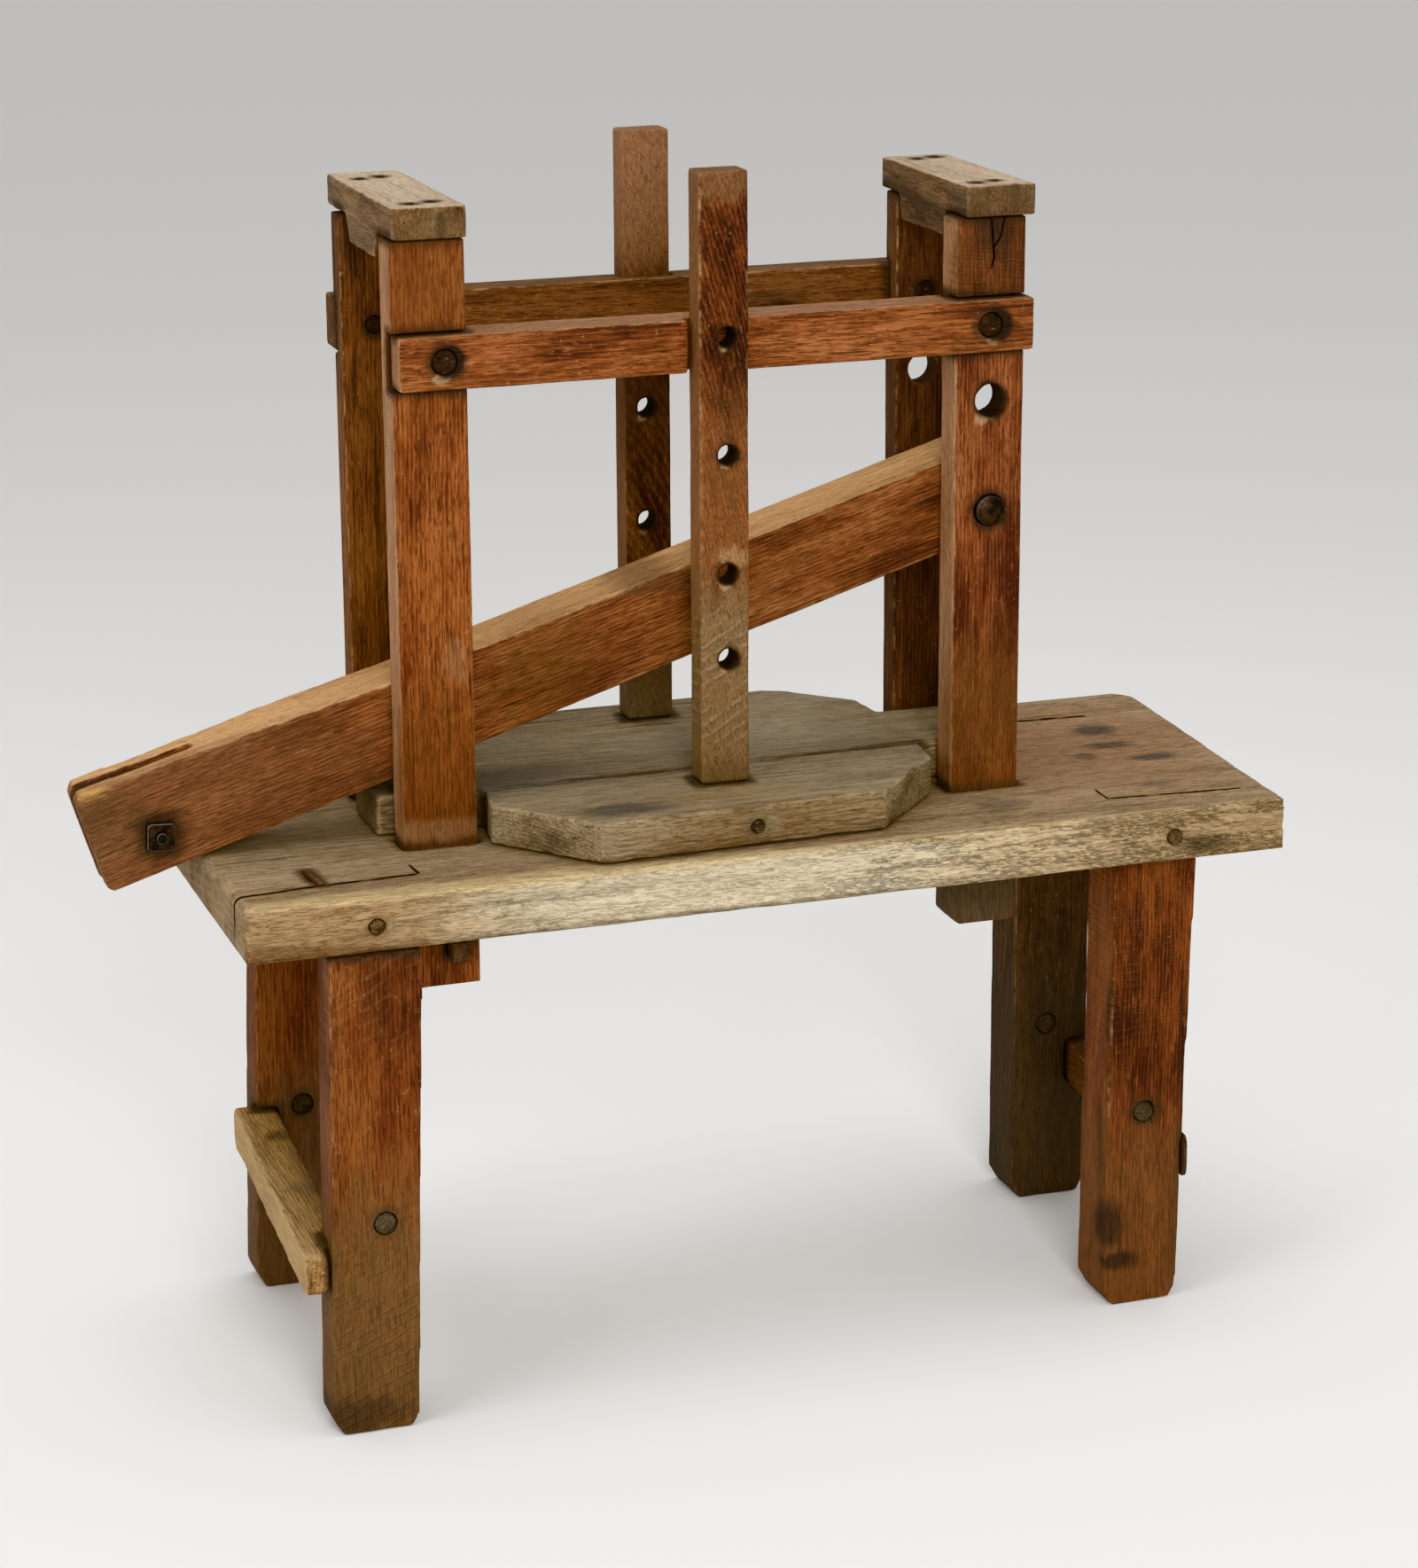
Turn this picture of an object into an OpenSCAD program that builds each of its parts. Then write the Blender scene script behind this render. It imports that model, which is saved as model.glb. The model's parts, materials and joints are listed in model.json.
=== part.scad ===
// Beam cider press: a weighted lever over a follower board on a four-legged bench.
// Sizes in mm, +Z up. Places are given from the bench's own middle (x, y) and the floor (z).

/* [Bench] */
// bench top, length along its front edge
bench_len = 1180; // [900:1:1600]
// bench top, depth from front to back
bench_depth = 472; // [400:1:700]
// bench top, thickness of the slab
bench_thk = 61; // [40:1:90]
// height of the bench's working face above the floor
bench_top_z = 603; // [500:1:800]
// how much further right the back right corner runs than the front one
bench_skew = 22; // [0:1:60]
// worn edge under the lever at the bench's left end
bench_wear = 6; // [0:0.5:10]

/* [Legs] */
// left legs, thickness from front to back
left_leg_thk = 56; // [40:1:80]
// right legs, thickness from front to back
right_leg_thk = 75; // [40:1:80]
// leg width at the top
leg_w_top = 102; // [70:1:130]
// leg width at the foot
leg_w_foot = 98; // [60:1:130]
// middle of the left legs from the bench's middle
left_leg_x = 446; // [380:1:540]
// middle of the right legs from the bench's middle
right_leg_x = 456; // [380:1:540]
// how far the left legs lean out at the floor
left_leg_lean = 14; // [0:1:40]
// how far the right front leg stands back from the bench's front edge
right_leg_inset = 37; // [0:1:60]
// leg tenon, width
leg_tenon_w = 62; // [40:1:90]
// leg tenon, thickness
leg_tenon_t = 34; // [20:1:50]
// leg tenon, height inside the bench
leg_tenon_h = 44; // [25:1:55]
// corner worn off each foot
foot_wear = 11; // [0:1:25]

/* [Pins] */
// radius of the pins that lock the leg tenons
leg_pin_r = 8.5; // [5:0.5:12]
// radius of the plugs in the legs' old holes
plug_r = 12; // [8:0.5:16]
// height of the plugs above the floor
plug_z = 230; // [180:1:300]
// radius of the pegs through the front rail
rail_peg_r = 13; // [8:0.5:18]
// radius of the pegs through the back rail
back_peg_r = 9; // [6:0.5:18]
// how far the rail pegs lie below the rail's face
peg_recess = 3; // [0:0.5:8]
// radius of the pegs that hold the caps down
cap_peg_r = 4.5; // [3:0.5:8]
// radius of the pins that lock the slats' tenons
slat_pin_r = 7; // [4:0.5:10]

/* [Stretchers] */
// left stretcher, width
left_bar_w = 50; // [30:1:70]
// right stretcher, width
right_bar_w = 44; // [30:1:70]
// stretcher height
bar_h = 54; // [30:1:70]
// underside of the stretchers above the floor
bar_z = 150; // [80:1:260]
// how far the left stretcher turns in plan
left_bar_turn = 2.7; // [0:0.1:6]
// how far the right stretcher turns in plan
right_bar_turn = 6.6; // [0:0.1:9]
// corners worn off the stretchers' ends
bar_wear = 9; // [0:1:15]

/* [Posts] */
// post width along the bench
post_w = 83; // [60:1:110]
// front posts, thickness
front_post_t = 43; // [30:1:60]
// back posts, thickness
back_post_t = 36; // [25:1:60]
// front face of the front posts, from the bench's middle
front_post_y = 84; // [60:1:110]
// clear gap between front and back posts
post_gap = 155; // [120:1:200]
// middle of the left posts
left_post_x = 339; // [280:1:400]
// middle of the right posts
right_post_x = 292; // [240:1:360]
// how far the back posts stand outside the front ones
back_post_out = 6; // [0:1:20]
// how far the back pair stands to the right of the front pair
back_post_shift = 3; // [0:1:10]
// how far the posts run below the bench's underside
post_foot = 100; // [60:1:160]
// top of the left posts above the bench
left_post_up = 653; // [560:1:760]
// top of the right posts above the bench
right_post_up = 642; // [560:1:760]
// side of the square key through the front left post's foot
key_side = 22; // [14:1:30]

/* [Caps] */
// cap width along the bench
cap_w = 82; // [60:1:110]
// cap thickness over the posts
cap_t = 36; // [25:1:60]
// how far the cap overhangs in front and behind
cap_over = 10; // [0:1:30]
// how much further back the left cap runs
left_cap_extra = 23; // [0:1:40]
// depth of the cap's middle, between the posts
cap_drop = 29; // [10:1:50]

/* [Rails] */
// rail height
rail_h = 60; // [40:1:80]
// underside of the front rail above the bench
rail_up = 495; // [420:1:560]
// front rail, thickness
front_rail_t = 55; // [40:1:70]
// back rail, thickness
back_rail_t = 46; // [35:1:70]
// how far the front rail stands proud of the posts
rail_proud = 14; // [5:1:30]
// how deep the back rail is let into the posts
back_lap = 11; // [5:1:20]
// post left behind the front rail
front_post_web = 21; // [12:1:30]

/* [Follower] */
// follower board, thickness
board_t = 46; // [30:1:60]
// follower board, length over its front edge
board_front_len = 328; // [200:1:420]
// follower board, length over the widest part
board_len = 522; // [440:1:560]
// middle of the follower board along the bench
board_x = -29; // [-60:1:20]
// joint between the two planks, from the bench's middle
seam_y = -41; // [-60:1:-30]
// gap at that joint
seam_gap = 1; // [0:0.1:3]
// clearance of the tongues in the posts
tongue_clear = 5.5; // [2:0.5:12]
// left tongue, width
left_tongue_w = 98; // [60:1:140]
// right tongue, width
right_tongue_w = 137; // [60:1:145]
// how far the tongues run past the posts
tongue_out = 17; // [0:1:40]
// lift of the board off the bench, so that the faces only just part
board_rest = 0.4; // [0.3:0.1:3]

/* [Slats] */
// slat width
slat_w = 57; // [40:1:80]
// slat thickness
slat_t = 38; // [25:1:50]
// front slat, length above the board
front_slat_len = 666; // [550:1:800]
// back slat, length above the board
back_slat_len = 675; // [550:1:800]
// how far the slats stand proud of the rails
slat_proud = 19; // [8:1:30]
// clearance of a slat in its rail's notch
slat_clear = 1.5; // [0.5:0.5:5]
// radius of the slats' pin holes
slat_hole_r = 10; // [6:0.5:14]
// depth of the slats' tenons in the board
slat_tenon_h = 34; // [20:1:40]

/* [Lever] */
// lever, from its pivot to the left end
lever_reach = 1045; // [900:1:1300]
// lever, past its pivot to the right
lever_tail = 52; // [30:1:80]
// lever thickness from front to back
lever_t = 86; // [60:1:100]
// lever thickness at the slotted end
lever_tip_t = 65; // [50:1:86]
// underside of the lever below its pivot
lever_below = 46.5; // [35:0.5:70]
// top of the lever above its pivot
lever_above = 58; // [40:0.5:80]
// gap between the lever and the front posts
lever_gap = 3; // [1:0.5:10]
// gap between the lever at rest and the bench's worn end
lever_rest = 0.9; // [0.3:0.1:3]
// slot in the left end, width
slot_w = 16; // [8:1:30]
// slot in the left end, length
slot_len = 140; // [80:1:220]
// pivot height above the bench
pivot_up = 318; // [260:1:360]
// radius of the iron pivot pin
pivot_r = 16.9; // [10:0.1:20]
// radial clearance of the pin in the lever
pivot_clear = 0.08; // [0.02:0.01:0.1]
// radius of the pin holes in the posts
post_hole_r = 17; // [10:0.1:22]
// height of the spare pin hole above the pivot
spare_hole_up = 122.5; // [90:0.5:150]
// height of the iron pin's rounded end
pin_dome = 6; // [3:0.5:10]

/* [Link bolt] */
// radius of the bolt across the lever's slot
bolt_r = 6.5; // [4:0.5:9]
// side of the square nut
nut_side = 31; // [20:1:40]
// thickness of the nut
nut_t = 12; // [8:1:18]
// bolt from the lever's left end
bolt_from_tip = 72; // [50:1:110]
// bolt below the lever's pivot line
bolt_below = 4; // [0:1:30]
// side of the bolt's square head
bolt_head = 26; // [18:1:34]

/* [Hidden] */
$fn = 64;
e = 0.5;
bench_z0 = bench_top_z - bench_thk;
front_y = -bench_depth / 2;
back_y = bench_depth / 2;
right_end = bench_len / 2 + 2 + bench_skew;
fp_y0 = -front_post_y;
fp_y1 = fp_y0 + front_post_t;
bp_y0 = fp_y1 + post_gap;
bp_y1 = bp_y0 + back_post_t;
post_foot_z = bench_z0 - post_foot;
left_post_top = bench_top_z + left_post_up;
right_post_top = bench_top_z + right_post_up;
rail_z = bench_top_z + rail_up;
pivot_z = bench_top_z + pivot_up;
post_l = -left_post_x - post_w / 2;
post_r = right_post_x - post_w / 2;
pivot_x = right_post_x + 2;
lever_y = fp_y1 + lever_gap;
tip_top = 1.21 * lever_above;
// the lever leans down until its underside almost meets the bench's worn end
edge_dx = bench_len / 2 - bench_wear + pivot_x;
edge_dz = pivot_z - bench_top_z;
edge_far = sqrt(edge_dx * edge_dx + edge_dz * edge_dz);
lever_tilt = atan(edge_dz / edge_dx) - asin((lever_below + lever_rest) / edge_far);
lever_tip_x = pivot_x - lever_reach * cos(lever_tilt) - (tip_top - 8) * sin(lever_tilt);
x_mid = (right_end + lever_tip_x) / 2;
rail_y0 = fp_y0 - rail_proud;
rail_y1 = rail_y0 + front_rail_t;
brail_y0 = bp_y1 - back_lap;
brail_y1 = brail_y0 + back_rail_t;
brail_z = rail_z + 5;
slat_y0 = rail_y0 - slat_proud;
slat_y1 = slat_y0 + slat_t;
bslat_y1 = brail_y1 + slat_proud - 8;
bslat_y0 = bslat_y1 - slat_t + 2;
board_z0 = bench_top_z + board_rest;
board_z1 = board_z0 + board_t;
board_l = board_x - board_len / 2;
board_r = board_x + board_len / 2;
slat_x = board_x + 3;
bslat_x = slat_x + 5;
hole_x = slat_x + 4;
slat_holes = [139, 233, 363, 490];
tongue_y = fp_y1 + tongue_clear;
cap_y0 = fp_y0 - cap_over;
cap_y1 = bp_y1 + cap_over;
// the lever is flat for this far on each side of the bolt, so that the head's corners sit on it
bolt_seat = bolt_head * sqrt(2) / 2 + 2;
oak = [0.55, 0.36, 0.20];
grey_oak = [0.56, 0.50, 0.40];
iron = [0.16, 0.15, 0.15];

// ---- shared shapes ----

// everything stands with the middle of its outline over the origin
module place() translate([-x_mid, 0, 0]) children();

// a round bar along +Y from y0 to y1
module bar_y(x, z, r, y0, y1, n = 64)
    translate([x, y0, z]) rotate([-90, 0, 0]) cylinder(r = r, h = y1 - y0, $fn = n);

// a box by its two opposite corners
module box(p, q) translate(p) cube([q[0] - p[0], q[1] - p[1], q[2] - p[2]]);

// a side view in x and z, made thick from y0 to y1
module slab_y(pts, y0, y1)
    translate([0, y1, 0]) rotate([90, 0, 0]) linear_extrude(y1 - y0) polygon(pts);

// legs: [x of the top's left edge, x of the foot's left edge, front face y, plug x]
function leg_at(i) =
    i == 0 ? [-left_leg_x - leg_w_top / 2 - 6, -left_leg_x - leg_w_top / 2 - left_leg_lean - 4,
        front_y + 2, -left_leg_x - 4]
    : i == 1 ? [right_leg_x - leg_w_top / 2 - 2, right_leg_x - leg_w_top / 2 - 5,
        front_y + right_leg_inset + 1, right_leg_x - 8]
    : i == 2 ? [-left_leg_x - leg_w_top / 2 + 11.4, -left_leg_x - leg_w_top / 2 - 7,
        back_y - left_leg_thk, -left_leg_x + 5]
    : [right_leg_x - leg_w_top / 2 + 21, right_leg_x - leg_w_top / 2 + 22,
        back_y - right_leg_inset + 8 - right_leg_thk, right_leg_x + 16];

function leg_thk(i) = i % 2 == 0 ? left_leg_thk : right_leg_thk;

function plug_z_at(i) = plug_z + [8, 3, -9, -7][i];

// one leg's tenon, at its own place
module leg_tenon(i) {
    a = leg_at(i);
    mid = a[0] + leg_w_top / 2;
    my = a[2] + leg_thk(i) / 2;
    box([mid - leg_tenon_w / 2, my - leg_tenon_t / 2, bench_z0 - e],
        [mid + leg_tenon_w / 2, my + leg_tenon_t / 2, bench_z0 + leg_tenon_h]);
}

// the pin that locks one leg's tenon, from the nearer edge of the bench
module leg_pin(i) {
    a = leg_at(i);
    my = a[2] + leg_thk(i) / 2;
    z = bench_z0 + bench_thk * 0.47;
    if (i < 2)
        bar_y(a[0] + leg_w_top / 2 + (i == 0 ? 2 : 4), z, leg_pin_r, front_y, my + leg_tenon_t / 2 + 6, 8);
    else
        bar_y(a[0] + leg_w_top / 2, z, leg_pin_r, my - leg_tenon_t / 2 - 6, back_y, 8);
}

// one plug, its outer end a little inside the leg's front face
module leg_plug(i, recess) {
    a = leg_at(i);
    bar_y(a[3], plug_z_at(i), plug_r, a[2] + recess, a[2] + leg_thk(i));
}

module left_bar() {
    a = leg_at(0);
    face = a[0] + (a[1] - a[0]) * (bench_z0 - bar_z) / bench_z0;
    difference() {
        translate([a[1] - 25, front_y + 3, bar_z + 12]) rotate([1.2, 0, -left_bar_turn])
            rotate([90, 0, 90]) linear_extrude(left_bar_w) bar_side(front_y * -2 - 28, bar_h - 3);
        box([face, front_y - 30, 0], [face + 150, front_y + 24, 400]);
    }
}

module right_bar() {
    a = leg_at(1);
    face = a[1] + leg_w_foot - 3;
    difference() {
        translate([face - right_bar_w + 8, a[2] - 1, bar_z - 5]) rotate([0, 0, -right_bar_turn])
            rotate([90, 0, 90]) linear_extrude(right_bar_w) bar_side(front_y * -2 - 2 * right_leg_inset, bar_h);
        box([face - 150, a[2] - 30, 0], [face, a[2] + 22, 400]);
    }
}

module bar_side(len, h)
    polygon([[bar_wear, 0], [len - bar_wear, 0], [len, bar_wear], [len, h - bar_wear],
        [len - bar_wear, h], [bar_wear, h], [0, h - bar_wear], [0, bar_wear]]);

module leg(i) {
    a = leg_at(i);
    w = leg_w_foot - (i == 1 ? 4 : 0);
    pts = [[a[1] + foot_wear, 0], [a[1] + w - foot_wear * 0.7, 0], [a[1] + w, foot_wear * 1.4],
        [a[0] + leg_w_top, bench_z0], [a[0], bench_z0], [a[1], foot_wear * 1.8]];
    difference() {
        union() {
            slab_y(pts, a[2], a[2] + leg_thk(i));
            leg_tenon(i);
        }
        leg_pin(i);
        leg_plug(i, -1);
        if (i == 0 || i == 2) left_bar();
        else right_bar();
    }
}

// ---- bench ----

module wedge_shape()
    translate([-495, -145, bench_top_z - 9]) rotate([0, 0, 95]) translate([-28, -4.5, 0]) cube([56, 9, 10]);

module bench_top() color(grey_oak) difference() {
    l = -bench_len / 2;
    r = bench_len / 2 + 2;
    translate([0, 0, bench_z0]) linear_extrude(bench_thk)
        polygon([[l, front_y], [r, front_y], [right_end, back_y - 20], [right_end - 18, back_y], [l, back_y]]);
    slab_y([[l - e, bench_top_z - bench_wear - e], [l + bench_wear + e, bench_top_z + e], [l - e, bench_top_z + e]],
        front_y - 1, back_y + 1);
    for (i = [0 : 3]) {
        leg_tenon(i);
        leg_pin(i);
        post_body(i);
    }
    wedge_shape();
}

module leg_pins() color(oak) for (i = [0 : 3]) leg_pin(i);

module leg_plugs() color(grey_oak) for (i = [0 : 3]) leg_plug(i, 3);

module crack_wedge() color([0.62, 0.36, 0.14]) wedge_shape();

// ---- posts: 0 front left, 1 front right, 2 back left, 3 back right ----

function post_x(i) = i == 0 ? post_l : i == 1 ? post_r
    : i == 2 ? post_l - back_post_out + back_post_shift : post_r + back_post_out + back_post_shift;
function post_y(i) = i < 2 ? fp_y0 : bp_y0;
function post_t(i) = i < 2 ? front_post_t : back_post_t;
function post_top(i) = i % 2 == 0 ? left_post_top : right_post_top;

module post_body(i)
    box([post_x(i), post_y(i), post_foot_z], [post_x(i) + post_w, post_y(i) + post_t(i), post_top(i)]);

module post_stub(i) {
    mx = post_x(i) + post_w / 2;
    my = post_y(i) + post_t(i) / 2;
    box([mx - 22, my - 10, post_top(i) - e], [mx + 22, my + 10, post_top(i) + cap_t * 0.6]);
}

module key_shape()
    box([post_l + post_w - 38, fp_y0 - 24, bench_z0 - 66],
        [post_l + post_w - 38 + key_side, fp_y1 + 16, bench_z0 - 66 + key_side]);

module post(i) {
    x0 = post_x(i);
    difference() {
        union() {
            post_body(i);
            post_stub(i);
        }
        if (i < 2) box([x0 - 1, fp_y0 - 1, rail_z], [x0 + post_w + 1, fp_y1 - front_post_web, rail_z + rail_h]);
        else box([x0 - 1, brail_y0, brail_z], [x0 + post_w + 1, bp_y1 + 1, brail_z + rail_h]);
        rail_peg(i);
        cap_pegs_at(i);
        if (i % 2 == 1) for (up = [0, spare_hole_up])
            bar_y(pivot_x, pivot_z + up, post_hole_r, post_y(i) - 1, post_y(i) + post_t(i) + 1);
        if (i == 0) key_shape();
        if (i == 2) translate([x0, bp_y0, left_post_top - 62]) rotate([0, 0, 45]) translate([-6, -6, 0])
            cube([12, 12, 100]);
        if (i == 1) foot_corner(x0, post_foot_z);
    }
}

// one lower corner of the front right post is worn round
module foot_corner(x, z)
    translate([x, 0, z]) rotate([0, 45, 0]) translate([-9, -400, -9]) cube([18, 800, 18]);

// ---- caps ----

module cap_pegs_at(i) {
    mx = post_x(i) + post_w / 2;
    my = post_y(i) + post_t(i) / 2;
    for (s = [-1, 1])
        translate([mx + s * 12, my + s * 4, post_top(i) - 45]) cylinder(r = cap_peg_r, h = 45 + cap_t);
}

module cap(side) {
    x0 = side == 0 ? -left_post_x - cap_w / 2 + 1 : right_post_x - cap_w / 2 + 7;
    z = side == 0 ? left_post_top : right_post_top;
    a = side == 0 ? 14 : 4;
    y1 = cap_y1 + (side == 0 ? left_cap_extra : 0);
    difference() {
        translate([x0, 0, 0]) rotate([90, 0, 90]) linear_extrude(cap_w)
            polygon([[cap_y0, z], [fp_y1 + 14, z], [fp_y1 + 14 + a, z - cap_drop], [bp_y0 - 8 - a, z - cap_drop],
                [bp_y0 - 8, z], [y1, z], [y1, z + cap_t], [cap_y0, z + cap_t]]);
        post_stub(side);
        post_stub(side + 2);
        cap_pegs_at(side);
        cap_pegs_at(side + 2);
    }
}

module cap_pegs() color(oak) for (i = [0 : 3]) cap_pegs_at(i);

// ---- rails ----

module rail_peg(i) {
    x = i % 2 == 0 ? post_x(i) + 55 - (i == 2 ? 17 : 0) : post_x(i) + 37;
    z = (i < 2 ? rail_z : brail_z) + rail_h / 2 + 1;
    if (i < 2) bar_y(x, z, rail_peg_r, rail_y0 + peg_recess, fp_y1);
    else bar_y(x, z, back_peg_r, bp_y0 - 1, brail_y1 - peg_recess);
}

module rail_front() color(oak) difference() {
    x0 = post_l + 4;
    x1 = post_r + post_w + 5;
    box([x0, rail_y0, rail_z], [x1, rail_y1, rail_z + rail_h]);
    for (i = [0, 1])
        box([post_x(i) - 0.3 - 30 * (1 - i), fp_y1 - front_post_web, rail_z - 1],
            [post_x(i) + post_w + 0.3 + 30 * i, rail_y1 + 1, rail_z + rail_h + 1]);
    for (i = [0, 1]) {
        rail_peg(i);
        bar_y(i == 0 ? post_l + 55 : post_r + 37, rail_z + rail_h / 2 + 1, rail_peg_r, rail_y0 - 1, rail_y0 + 5);
    }
    box([slat_x - slat_w / 2 - 2 * slat_clear - 1, rail_y0 - 1, rail_z - 1],
        [slat_x + slat_w / 2 + slat_clear, slat_y1 + slat_clear, rail_z + rail_h + 1]);
}

module rail_back() color(oak) difference() {
    x0 = post_l + 2 - back_post_out;
    x1 = post_r + post_w + back_post_out + back_post_shift + 5;
    box([x0, brail_y0, brail_z], [x1, brail_y1, brail_z + rail_h]);
    for (i = [2, 3]) {
        rail_peg(i);
        bar_y(i == 2 ? post_x(2) + 38 : post_x(3) + 37, brail_z + rail_h / 2 + 1, back_peg_r,
            brail_y1 - 5, brail_y1 + 1);
    }
    box([bslat_x - slat_w / 2 - slat_clear, bslat_y0 - slat_clear, brail_z - 1],
        [bslat_x + slat_w / 2 + slat_clear, brail_y1 + 1, brail_z + rail_h + 1]);
}

module rail_pegs() color([0.30, 0.17, 0.10]) for (i = [0 : 3]) rail_peg(i);

// ---- follower board ----

module board_front() color(grey_oak) difference() {
    f = board_front_len / 2;
    translate([0, 0, board_z0]) linear_extrude(board_t)
        polygon([[board_x - f - 5, front_y + 22], [board_x + f - 5, front_y + 38], [board_r - 6, seam_y - 52],
            [board_r, seam_y + 7], [board_l + 8, seam_y - 9], [board_l, seam_y - 64]]);
    slat_tenon(0);
    slat_pin(0);
    board_dowels_at();
}

module board_back() color(grey_oak) difference() {
    g = seam_gap;
    lt = post_l - tongue_out;
    rt = post_r + post_w + tongue_out - 10;
    translate([0, 0, board_z0]) linear_extrude(board_t)
        polygon([[lt, tongue_y], [board_l + 4, tongue_y], [board_l + 8, seam_y - 9 + g], [board_r, seam_y + 7 + g],
            [rt, tongue_y], [rt, tongue_y + right_tongue_w], [board_r + 3, tongue_y + right_tongue_w],
            [board_r, back_y - 79], [board_x + 196, back_y - 11], [board_x + 172, back_y - 1],
            [board_x - 172, back_y - 1], [board_l, back_y - 79], [board_l, tongue_y + left_tongue_w],
            [lt, tongue_y + left_tongue_w]]);
    slat_tenon(1);
    slat_pin(1);
    board_dowels_at();
}

module board_dowels_at() for (s = [-1, 1])
    bar_y(board_x + s * 120, board_z0 + board_t / 2, 8, seam_y - 55, seam_y + 55);

module board_dowels() color(oak) board_dowels_at();

// ---- slats: 0 front, 1 back ----

module slat_tenon(i) {
    x = i == 0 ? slat_x : bslat_x;
    y = i == 0 ? (slat_y0 + slat_y1) / 2 : (bslat_y0 + bslat_y1) / 2;
    box([x - slat_w / 2 + 9, y - 11, board_z1 - slat_tenon_h], [x + slat_w / 2 - 9, y + 11, board_z1 + e]);
}

module slat_pin(i) {
    z = board_z0 + board_t / 2 - 2;
    if (i == 0) bar_y(slat_x + 6, z, slat_pin_r, front_y + 29, (slat_y0 + slat_y1) / 2 + 16);
    else bar_y(bslat_x, z, slat_pin_r, (bslat_y0 + bslat_y1) / 2 - 16, back_y - 1);
}

module slat(i) {
    x = i == 0 ? slat_x : bslat_x;
    y0 = i == 0 ? slat_y0 : bslat_y0;
    y1 = i == 0 ? slat_y1 : bslat_y1;
    len = i == 0 ? front_slat_len : back_slat_len;
    difference() {
        union() {
            box([x - slat_w / 2, y0, board_z1], [x + slat_w / 2, y1, board_z1 + len]);
            slat_tenon(i);
        }
        slat_pin(i);
        for (h = slat_holes) bar_y(hole_x, board_z1 + h, slat_hole_r, y0 - 1, y1 + 1);
    }
}

module slat_pins() color(oak) for (i = [0, 1]) slat_pin(i);

// ---- lever: its own line runs to the left from the pivot ----

module lever_place() translate([pivot_x, 0, pivot_z]) rotate([0, -lever_tilt, 0]) children();

module lever() color(oak) lever_place() difference() {
    b = lever_below;
    t = lever_above;
    n = lever_reach;
    intersection() {
        slab_y([[lever_tail - 6, -b + 2], [lever_tail, -b + 10], [lever_tail, t - 8], [lever_tail - 8, t],
            [-0.25 * n, t - 1], [-0.66 * n, t - 1], [-0.8 * n, t + 6], [-n + 8, tip_top], [-n, tip_top - 8],
            [-n, -b + 7], [-n + 6, -b], [-0.57 * n, -b], [-0.38 * n, -b + 2]], lever_y, lever_y + lever_t);
        translate([0, 0, -200]) linear_extrude(400)
            polygon([[lever_tail + 1, lever_y], [lever_tail + 1, lever_y + lever_t], [-0.66 * n, lever_y + lever_t],
                [-0.77 * n, lever_y + lever_t - 6], [-n + bolt_from_tip + bolt_seat, lever_y + lever_tip_t],
                [-n + 10, lever_y + lever_tip_t], [-n - 1, lever_y + lever_tip_t - 8], [-n - 1, lever_y]]);
    }
    bar_y(0, 0, pivot_r + pivot_clear, lever_y - 1, lever_y + lever_t + 1);
    box([-n - 5, lever_y + 26, -200], [-n + slot_len - slot_w / 2, lever_y + 26 + slot_w, 200]);
    translate([-n + slot_len - slot_w / 2, lever_y + 26 + slot_w / 2, -200]) cylinder(r = slot_w / 2, h = 400);
    bar_y(-n + bolt_from_tip, -bolt_below, bolt_r, lever_y - 1, lever_y + lever_t + 1);
}

module pivot_pin() color(iron) translate([pivot_x, fp_y0 - pin_dome - 3, pivot_z]) rotate([-90, 0, 0]) {
    dome_r = (pivot_r * pivot_r + pin_dome * pin_dome) / (2 * pin_dome);
    intersection() {
        cylinder(r = pivot_r, h = bp_y1 - fp_y0 + pin_dome + 12);
        translate([0, 0, dome_r]) union() {
            sphere(r = dome_r, $fn = 96);
            cylinder(r = dome_r, h = 400);
        }
    }
}

module link_bolt() color(iron) lever_place() {
    x = -lever_reach + bolt_from_tip;
    bar_y(x, -bolt_below, bolt_r, lever_y - nut_t - 5, lever_y + lever_tip_t + 1);
    translate([x, lever_y + lever_tip_t + 0.2, -bolt_below]) rotate([-90, 12, 0])
        translate([-bolt_head / 2, -bolt_head / 2, 0]) cube([bolt_head, bolt_head, 10]);
}

module link_nut() color(iron) lever_place()
    translate([-lever_reach + bolt_from_tip, lever_y - 0.2, -bolt_below]) rotate([90, 20, 0]) difference() {
        intersection() {
            translate([-nut_side / 2, -nut_side / 2, 0]) cube([nut_side, nut_side, nut_t]);
            translate([0, 0, -1]) cylinder(r1 = nut_side * 0.78, r2 = nut_side * 0.62, h = nut_t + 1.001);
        }
        translate([0, 0, -1]) cylinder(r = bolt_r, h = nut_t + 2);
    }

module post_key() color(oak) key_shape();

// ---- the object, one node at a time ----

place() bench_top();
place() color(oak) leg(0);  // leg_front_left
place() color(oak) leg(1);  // leg_front_right
place() color(oak) leg(2);  // leg_back_left
place() color(oak) leg(3);  // leg_back_right
place() color(grey_oak) left_bar();  // stretcher_left
place() color(oak) right_bar();  // stretcher_right
place() leg_pins();
place() leg_plugs();
place() crack_wedge();
place() color(oak) post(0);  // post_front_left
place() color(oak) post(1);  // post_front_right
place() color(oak) post(2);  // post_back_left
place() color(oak) post(3);  // post_back_right
place() post_key();
place() color(oak) cap(0);  // cap_left
place() color(oak) cap(1);  // cap_right
place() cap_pegs();
place() rail_front();
place() rail_back();
place() rail_pegs();
place() board_front();
place() board_back();
place() board_dowels();
place() color(oak) slat(0);  // slat_front
place() color(oak) slat(1);  // slat_back
place() slat_pins();
place() lever();
place() pivot_pin();
place() link_bolt();
place() link_nut();
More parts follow.
